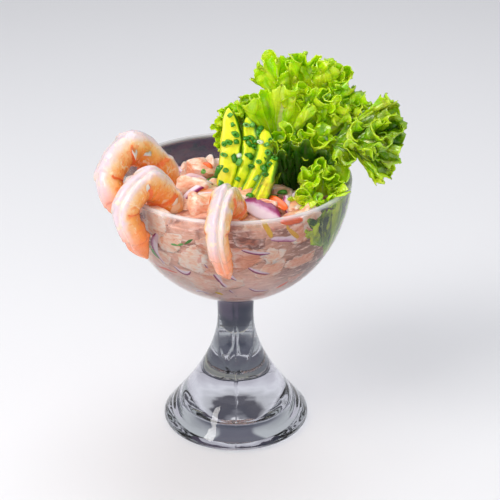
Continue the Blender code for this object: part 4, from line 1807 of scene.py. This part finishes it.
@dataclass
class PepperStrips(Garnish):
    """Orange and yellow pepper, in strips and small bits."""

    kind: str = "pepper"
    title: str = "pepper_strips"
    slot: Slot = Slot.PEPPER
    finish: CutGarnish = PEPPER_FLESH
    chosen: tuple[Strip, ...] = (
        Strip(((13.4, -26, 125.6), (17.6, -29, 126.2), (22.4, -33.2, 123.6)), 5, 1.2,
              (0.2, -0.8, 1), 0.26, 0.35),
        Strip(((-18.4, -19.4, 125.4), (-15, -17.6, 125.8), (-11.6, -15.6, 125)), 4.2, 2.4,
              (0, -1, 0.8), 0.42, 0.5),
        Strip(((-15, 1, 130.2), (-12.5, 1, 130.4), (-10, -0.5, 129)), 3, 2, (0, -0.6, 1), 0.25,
              0.5),
        Strip(((-77, 126), (-74, 121), (-70, 114.5)), 2.7, 1.6, None, 0.8, 0.3),
        Strip(((-65, 122), (-61, 118), (-57, 114.5)), 2.4, 1.6, None, 0.72, 0.3),
        Strip(((-154, 99), (-150.5, 97.8), (-147, 96.8)), 2, 1, None, 0.98, 0.4),
        Strip(((-105.5, 87), (-102.5, 85.8), (-99.5, 84.6)), 2, 1, None, 0.95, 0.4),
        Strip(((-149, 97), (-143, 94.5), (-136, 95), (-126, 95.2)), 1.8, 1, None, 0.08),
        Strip(((-68, 124), (-62, 123.4), (-55, 123)), 3, 1.4, None, 0.2),
        Strip(((-60, 86.5), (-56, 88), (-52, 90)), 2.2, 1, None, 0.15),
    )
    shapes_from: int = 400
    bits: int = 16
    seed: int = 14

    def strewn(self, random: Chance) -> list[Strip]:
        """Small bits at random on the wall, away from the front."""
        limits = ((-30, 200), (82, 112), (3, 12), (-4, 4), (1.5, 2.8), (0.1, 0.95))
        return [self.on_wall(random, limits, 3, 1.3, 0.4) for _ in range(self.bits)]


@dataclass
class HerbScraps(Garnish):
    """Torn coriander and chive scraps in the juice."""

    kind: str = "herb"
    title: str = "herb_scraps"
    slot: Slot = Slot.CHIVES
    chosen: tuple[Strip, ...] = (
        Strip(((-141, 105), (-138.5, 102.8), (-136, 100.6)), 3.6, 0.8, None, 0.35, 0.5),
        Strip(((-124, 111.5), (-120, 112), (-116.5, 113.2)), 1.5, 0.8, None, 0.62, 0.4),
        Strip(((-116, 113), (-113.5, 114.8), (-111, 116.4)), 1.3, 0.8, None, 0.25, 0.5),
        Strip(((-166, 101.5), (-163, 98.5), (-160, 95.5)), 2.6, 0.8, None, 0.3, 0.5),
        Strip(((-164, 92.5), (-160, 89.5), (-156, 87), (-150, 84)), 3.6, 0.8, None, 0.32, 0.5),
    )
    shapes_from: int = 500
    scraps: int = 26
    seed: int = 15

    def strewn(self, random: Chance) -> list[Strip]:
        """Scraps at random, by turns on the surface and on the wall.

        Args:
            random: The source of chance.

        Returns:
            The scraps.
        """
        limits = ((-40, 220), (82, 112), (2, 7), (-3, 3), (1.2, 2.6), (0.1, 0.6))
        made = []
        for number in range(self.scraps):
            if number % 2:
                made.append(self.on_wall(random, limits, 3, 0.6, 0.5))
                continue
            x, y = random.uniform(-30, 30), random.uniform(-30, 40)
            way = random.uniform(0, math.tau)
            line = tuple((x + k * math.cos(way), y + k * math.sin(way),
                          float(self.filling.surface(x, y)) + 3) for k in (-1.6, 0, 1.6))
            width, look = (random.uniform(*pair) for pair in limits[4:])
            made.append(Strip(line, width, 0.6, (0.2, -0.5, 1), look, 0.5))
        return made


@dataclass(frozen=True)
class Ring:
    """A cut chive on the avocado: where it is seen, across and up, and how it lies."""

    seen: tuple[float, float]
    heading: float
    length: float
    standing: bool
    # How pale it is: partly its own tone, partly painted highlight and shade.
    shade: float


@dataclass
class ChiveRings:
    """Cut chives strewn over the avocado and around it."""

    bench: Bench
    slices: list[Piece]
    # The last number of each ring is its paleness, partly painted highlight and shade for how it is
    # lit.
    chosen: tuple[Ring, ...] = tuple(Ring(*row) for row in (
        ((0.2, 159.8), 40, 1.4, True, 0.2), ((-1.7, 158.1), 30, 2, False, 0.6),
        ((3.4, 156.3), 80, 2.4, False, 0.7), ((4.8, 153.4), 60, 2.8, True, 0.75),
        ((8, 153.7), 20, 2.2, False, 0.7), ((0.1, 149.6), 120, 2.4, True, 0.5),
        ((10.2, 150), 100, 3.4, False, 0.5), ((11.9, 151.1), 60, 2.2, False, 0.25),
        ((-4.5, 145), 85, 2, True, 0.45), ((-2.6, 145.8), 70, 2.2, True, 0.45),
        ((0.4, 146), 20, 1.8, False, 0.35), ((4.8, 147.3), 10, 2.2, False, 0.35),
        ((7, 147.6), 60, 2.2, True, 0.4), ((5.8, 144.9), 140, 3, False, 0.35),
        ((11.3, 145.6), 60, 1.6, True, 1), ((14.1, 144.3), 30, 2, False, 0.6),
        ((14.4, 140.8), 80, 1.8, True, 0.6), ((0.1, 137.8), 88, 3.8, False, 0.25),
        ((2.5, 139.2), 20, 1.8, True, 1), ((2.7, 136.1), 30, 3, False, 0.6),
        ((6.7, 139), 120, 2.8, False, 0.45), ((5.4, 139.6), 60, 2, True, 0.3),
        ((12.4, 133.9), 20, 2.6, False, 0.35), ((15, 134.8), 70, 2.4, True, 0.3),
        ((13.1, 132.4), 95, 3.2, False, 0.25), ((9.8, 128.6), 35, 2.6, False, 0.75),
        ((7, 119.9), 60, 2.4, True, 0.4), ((8.6, 146), 30, 2, False, 0.5),
        ((16.8, 138), 30, 1.8, True, 0.4), ((-0.8, 154), 10, 1.6, False, 0.5),
        ((10.6, 136.4), 30, 1.6, True, 0.5),
    ))
    # The last number is its paleness, raised as painted light where rings sit in shade.
    loose: tuple[tuple[Point, Point, float, float], ...] = (
        ((-7.3, -8, 131), (0.3, -0.2, 1), 6, 0.3),
        ((-11.7, -4.3, 125.4), (1, -0.3, 0.5), 3, 0.3),
        ((-9.5, -4, 125.7), (0.5, -0.8, 0.5), 2.4, 0.4),
        ((-6.2, -14.4, 127.4), (0.1, 0.3, 1), 3.4, 0.45),
        ((20.9, -17.2, 125), (0.9, -0.3, 0.2), 3.4, 0.55),
        ((17, -21.3, 124.6), (0.9, -0.5, 0.1), 2.8, 0.15),
        ((25.9, -20, 123.4), (0.4, -0.7, 0.7), 3.6, 0.45),
        ((-14, -8, 131), (0.2, -0.7, 0.7), 2, 0.7),
    )
    strewn: int = 8
    outer: float = 1.25
    bore: float = 0.45
    seed: int = 31

    def ring(self, name: str, spot: Array, way: Array, length: float, shade: float) -> Piece:
        """Shape one hollow ring about its own axis.

        Args:
            name: Its name.
            spot: Its middle.
            way: Its axis.
            length: Its length.
            shade: How pale it is, partly its own tone and partly painted highlight and shade.

        Returns:
            The ring.
        """
        piece = self.bench.start(name, bpy.ops.mesh.primitive_torus_add, major_segments=12,
                                 minor_segments=6, major_radius=1, minor_radius=0.5)
        raw = self.bench.read(piece)
        turn = np.arctan2(raw[:, 1], raw[:, 0])
        ring = np.hypot(raw[:, 0], raw[:, 1]) - 1
        share = np.arctan2(raw[:, 2], ring)
        middle = (self.outer + self.bore) / 2
        thick = (self.outer - self.bore) / 2 * np.clip(1.5 * np.cos(share), -1, 1)
        radius = (middle + thick) * (0.85 + 0.35 * ((7 * length) % 1))
        height = length / 2 * np.clip(1.5 * np.sin(share), -1, 1)
        height += 0.12 * length * np.cos(turn + 9 * shade) * np.sign(height)
        squash = 1 + 0.45 * ((13 * length + 3 * shade) % 1)
        way = unit(way)
        side = unit(np.cross(way, np.array([0.3, 0.2, 1])))
        other = np.cross(way, side)
        places = (spot + side * (radius * squash * np.cos(turn))[:, None]
                  + other * (radius / squash * np.sin(turn))[:, None] + way * height[:, None])
        self.bench.settle(piece, places)
        self.bench.mark(piece, shade=shade)
        return piece

    def land(self, start: Array, way: Array) -> Optional[tuple[Array, ...]]:
        """The first slice that a straight line meets.

        Args:
            start: Where the line starts, in millimetres.
            way: Its direction.

        Returns:
            The place and the normal there, if it meets any.
        """
        best = None
        for piece in self.slices:
            hit, place, normal, _ = piece.ray_cast(Vector(self.bench.metres(start)),
                                                   Vector(unit(way)))
            if hit:
                spot = (np.array(place) - self.bench.axis) / MM
                far = float(np.linalg.norm(spot - start))
                if best is None or far < best[0]:
                    best = (far, spot, np.array(normal))
        return best[1:] if best else None

    def build(self) -> Piece:
        """Shape and dress every ring.

        Returns:
            The finished piece.
        """
        random = np.random.default_rng(self.seed)
        rings = list(self.chosen)
        for _ in range(self.strewn):
            rings.append(Ring((random.uniform(-5, 16), random.uniform(128, 154)),
                              random.uniform(0, 180), random.uniform(1.2, 2.2),
                              bool(random.integers(0, 2)), random.uniform(0.2, 0.8)))
        pieces = []
        for number, ring in enumerate(rings):
            target = np.array([ring.seen[0], -10, ring.seen[1]])
            front = unit(np.array(EYE) - target)
            landed = self.land(target + front * 60, -front)
            if landed is None:
                continue
            spot, normal = landed
            turn = math.radians(ring.heading)
            flat = unit(np.cross(normal, np.array([0, 1, 0.2])))
            lying = flat * math.cos(turn) + np.cross(normal, flat) * math.sin(turn)
            way = normal + 0.7 * lying if ring.standing else lying + 0.15 * normal
            lift = ring.length * 0.4 if ring.standing else self.outer * 0.9
            pieces.append(self.ring(f"chive_{number}", spot + normal * lift, way,
                                    ring.length, ring.shade))
        for number, (place, way, *look) in enumerate(self.loose):
            pieces.append(self.ring(f"chive_loose_{number}", np.array(place), np.array(way), *look))
        return self.bench.hand_in("chive_rings", pieces, Slot.CHIVES, FRESH_CHIVE.make())


# --- The studio ---


@dataclass(frozen=True)
class Lamp:
    """A soft square light: where it stands, its side, its power and its colour."""

    name: str
    place: Point
    side: float
    power: float
    colour: Colour
    mirrored: bool = True


@dataclass
class Studio:
    """A pale floor with a painted glow seen through glass, soft lights and the camera."""

    bench: Bench
    lamps: tuple[Lamp, ...] = (
        Lamp("key", (-0.52, -0.36, 0.74), 0.42, 4.6, (255, 252, 248)),
        Lamp("top", (0.1, 0.35, 0.95), 0.6, 3, (246, 249, 255)),
        Lamp("fill", (0.08, -0.85, 0.4), 0.5, 2.5, (255, 250, 246), False),
    )
    aim: Point = (0, 0, 0.1)
    pitch: float = 25.719
    yaw: float = 0.645
    lens: float = 104.5
    room: float = 0.5
    floor_side: float = 6
    floor_colour: Colour = (236, 236, 238)
    # Glass shows the floor as a painted glow: dark rings, a darker right, light flanks by the foot.
    rings_in_glass: Stops = (
        (0, 60, 66, 82), (0.06, 92, 94, 108), (0.1, 96, 96, 110), (0.144, 112, 116, 124),
        (0.156, 206, 202, 176), (0.166, 90, 94, 106), (0.24, 48, 52, 68), (0.5, 44, 48, 66),
        (0.9, 66, 60, 76))
    right_in_glass: Colour = (84, 74, 94)
    flanks_in_glass: Colour = (184, 188, 192)
    room_in_glass: Stops = (
        (0.2, 200, 198, 208), (0.32, 216, 214, 224), (0.42, 236, 236, 244),
        (0.62, 196, 196, 202), (0.7, 92, 90, 100), (0.88, 84, 84, 96), (0.96, 150, 150, 158),
        (1, 240, 240, 244))

    def aimed(self, thing: Piece, direction: Vector) -> None:
        """Turn a lamp or camera to look along a direction."""
        thing.rotation_euler = direction.to_track_quat("-Z", "Y").to_euler()

    def floor_in_glass(self, look: Recipe) -> Socket:
        """A painted glow that glass shows for the floor: dark rings, light beside the foot.

        Args:
            look: The floor's material.

        Returns:
            The colour.
        """
        distance = look.node("ShaderNodeVectorMath", operation="DISTANCE")
        look.feed(distance.inputs, (look.place, tuple(self.bench.axis)))
        cloud = look.sum("SUBTRACT", look.noise(60, 2), 0.5)
        away = look.sum("ADD", distance.outputs["Value"], look.times(cloud, 0.02))
        look.ramp(look.times(away, 4), self.rings_in_glass)
        across = look.sum("SUBTRACT", look.axes()[0], float(self.bench.axis[0]))
        right = look.between(look.sum("ADD", across, look.times(cloud, 0.1)), -0.03, 0.03)
        far = look.between(away, 0.07, 0.1, 0, 0.8)
        look.lay(look.times(right, far), self.right_in_glass)
        core = look.between(away, 0.022, 0.055, 0.0065, 0.05)
        past = look.sum("SUBTRACT", look.sum("ABSOLUTE", across), core)
        near = look.times(look.between(away, 0.06, 0.07, 1, 0),
                          look.between(away, 0.013, 0.026, 0.08, 1))
        return look.lay(look.times(look.between(past, 0, 0.0025), near), self.flanks_in_glass)

    def lay_floor(self) -> None:
        """A wide pale floor; where glass bends or mirrors it, a darker painted glow shows."""
        floor = self.bench.start("floor", bpy.ops.mesh.primitive_plane_add,
                                 size=self.floor_side, location=(0, 0, -0.0002))
        look = Recipe("pale_floor")
        look.set(look.shader, Base_Color=tint(*self.floor_colour), Roughness=0.6)
        # painted glow, lit by nothing, in place of the floor for what glass bends into view
        floor_glow_in_glass = look.node("ShaderNodeEmission")
        look.join(self.floor_in_glass(look), floor_glow_in_glass.inputs["Color"])
        look.choose(look.in_glass(), look.shader.outputs["BSDF"],
                    floor_glow_in_glass.outputs["Emission"], look.output.inputs["Surface"])
        floor.data.materials.append(look.material)

    def hang_lamps(self) -> None:
        """Hang the soft lights."""
        for lamp in self.lamps:
            light = bpy.data.lights.new(lamp.name, "AREA")
            light.size = lamp.side
            light.energy = lamp.power
            light.color = tint(*lamp.colour)[:3]
            hung = bpy.data.objects.new(lamp.name, light)
            bpy.context.collection.objects.link(hung)
            hung.location = lamp.place
            hung.visible_glossy = lamp.mirrored
            hung.visible_transmission = False
            self.aimed(hung, Vector(self.aim) - Vector(lamp.place))

    def light_room(self) -> None:
        """A soft white room, dimmer overhead to what glass bends into view."""
        world = bpy.data.worlds.new("room")
        bpy.context.scene.world = world
        world.use_nodes = True
        nodes = Nodes(world.node_tree, "Generated")
        plain = world.node_tree.nodes["Background"]
        nodes.set(plain, Color=tint(250, 251, 255), Strength=self.room)
        x, _, z = nodes.axes()
        climb = nodes.sum("MULTIPLY_ADD", nodes.noise(1000 / 3, 2), 0.35, z)
        lower = nodes.sum("MULTIPLY_ADD", nodes.sum("ABSOLUTE", x), -0.5, climb)
        dim = nodes.node("ShaderNodeBackground")
        nodes.set(dim, Color=nodes.ramp(lower, self.room_in_glass), Strength=1)
        nodes.choose(nodes.in_glass(), plain.outputs["Background"], dim.outputs["Background"],
                     world.node_tree.nodes["World Output"].inputs["Surface"])

    def set_camera(self) -> None:
        """Stand the camera in front, a little above, and look slightly down."""
        camera = bpy.data.cameras.new("camera")
        camera.lens = self.lens
        camera.sensor_width = 36
        stand = bpy.data.objects.new("camera", camera)
        bpy.context.collection.objects.link(stand)
        stand.location = self.bench.metres(np.array(EYE))
        pitch, yaw = math.radians(self.pitch), math.radians(self.yaw)
        self.aimed(stand, Vector((math.sin(yaw) * math.cos(pitch),
                                  math.cos(yaw) * math.cos(pitch), -math.sin(pitch))))
        bpy.context.scene.camera = stand

    def build(self) -> None:
        """Set up the whole studio."""
        self.lay_floor()
        self.hang_lamps()
        self.light_room()
        self.set_camera()
        view = bpy.context.scene.view_settings
        view.view_transform = "Standard"
        view.look = "None"


def main() -> None:
    """Build every piece in order and set it in the studio."""
    logging.basicConfig(level=logging.INFO, format="%(name)s %(message)s")
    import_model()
    bench = Bench("cup")
    Studio(bench).build()
    cup = FootedCup(bench)
    cup.build()
    filling = Filling(bench, cup.inside())
    filling.build()
    for kind in (FishCuts, OnionSlivers, PepperStrips, HerbScraps):
        kind(bench, filling).build()
    shrimp_finish = CookedShrimp().make()
    for number, shrimp in enumerate(SHRIMPS, 1):
        Shrimp(bench, f"shrimp_{number}", *shrimp).build(shrimp_finish)
    ChiveRings(bench, AvocadoFan(bench).build()).build()
    leaf_finish = FrillyLeaf().make()
    for number, fronds in enumerate(LEAVES, 1):
        LettuceLeaf(bench, f"lettuce_leaf_{number}", fronds, filling.wall).build(leaf_finish)


if __name__ == "__main__":
    main()
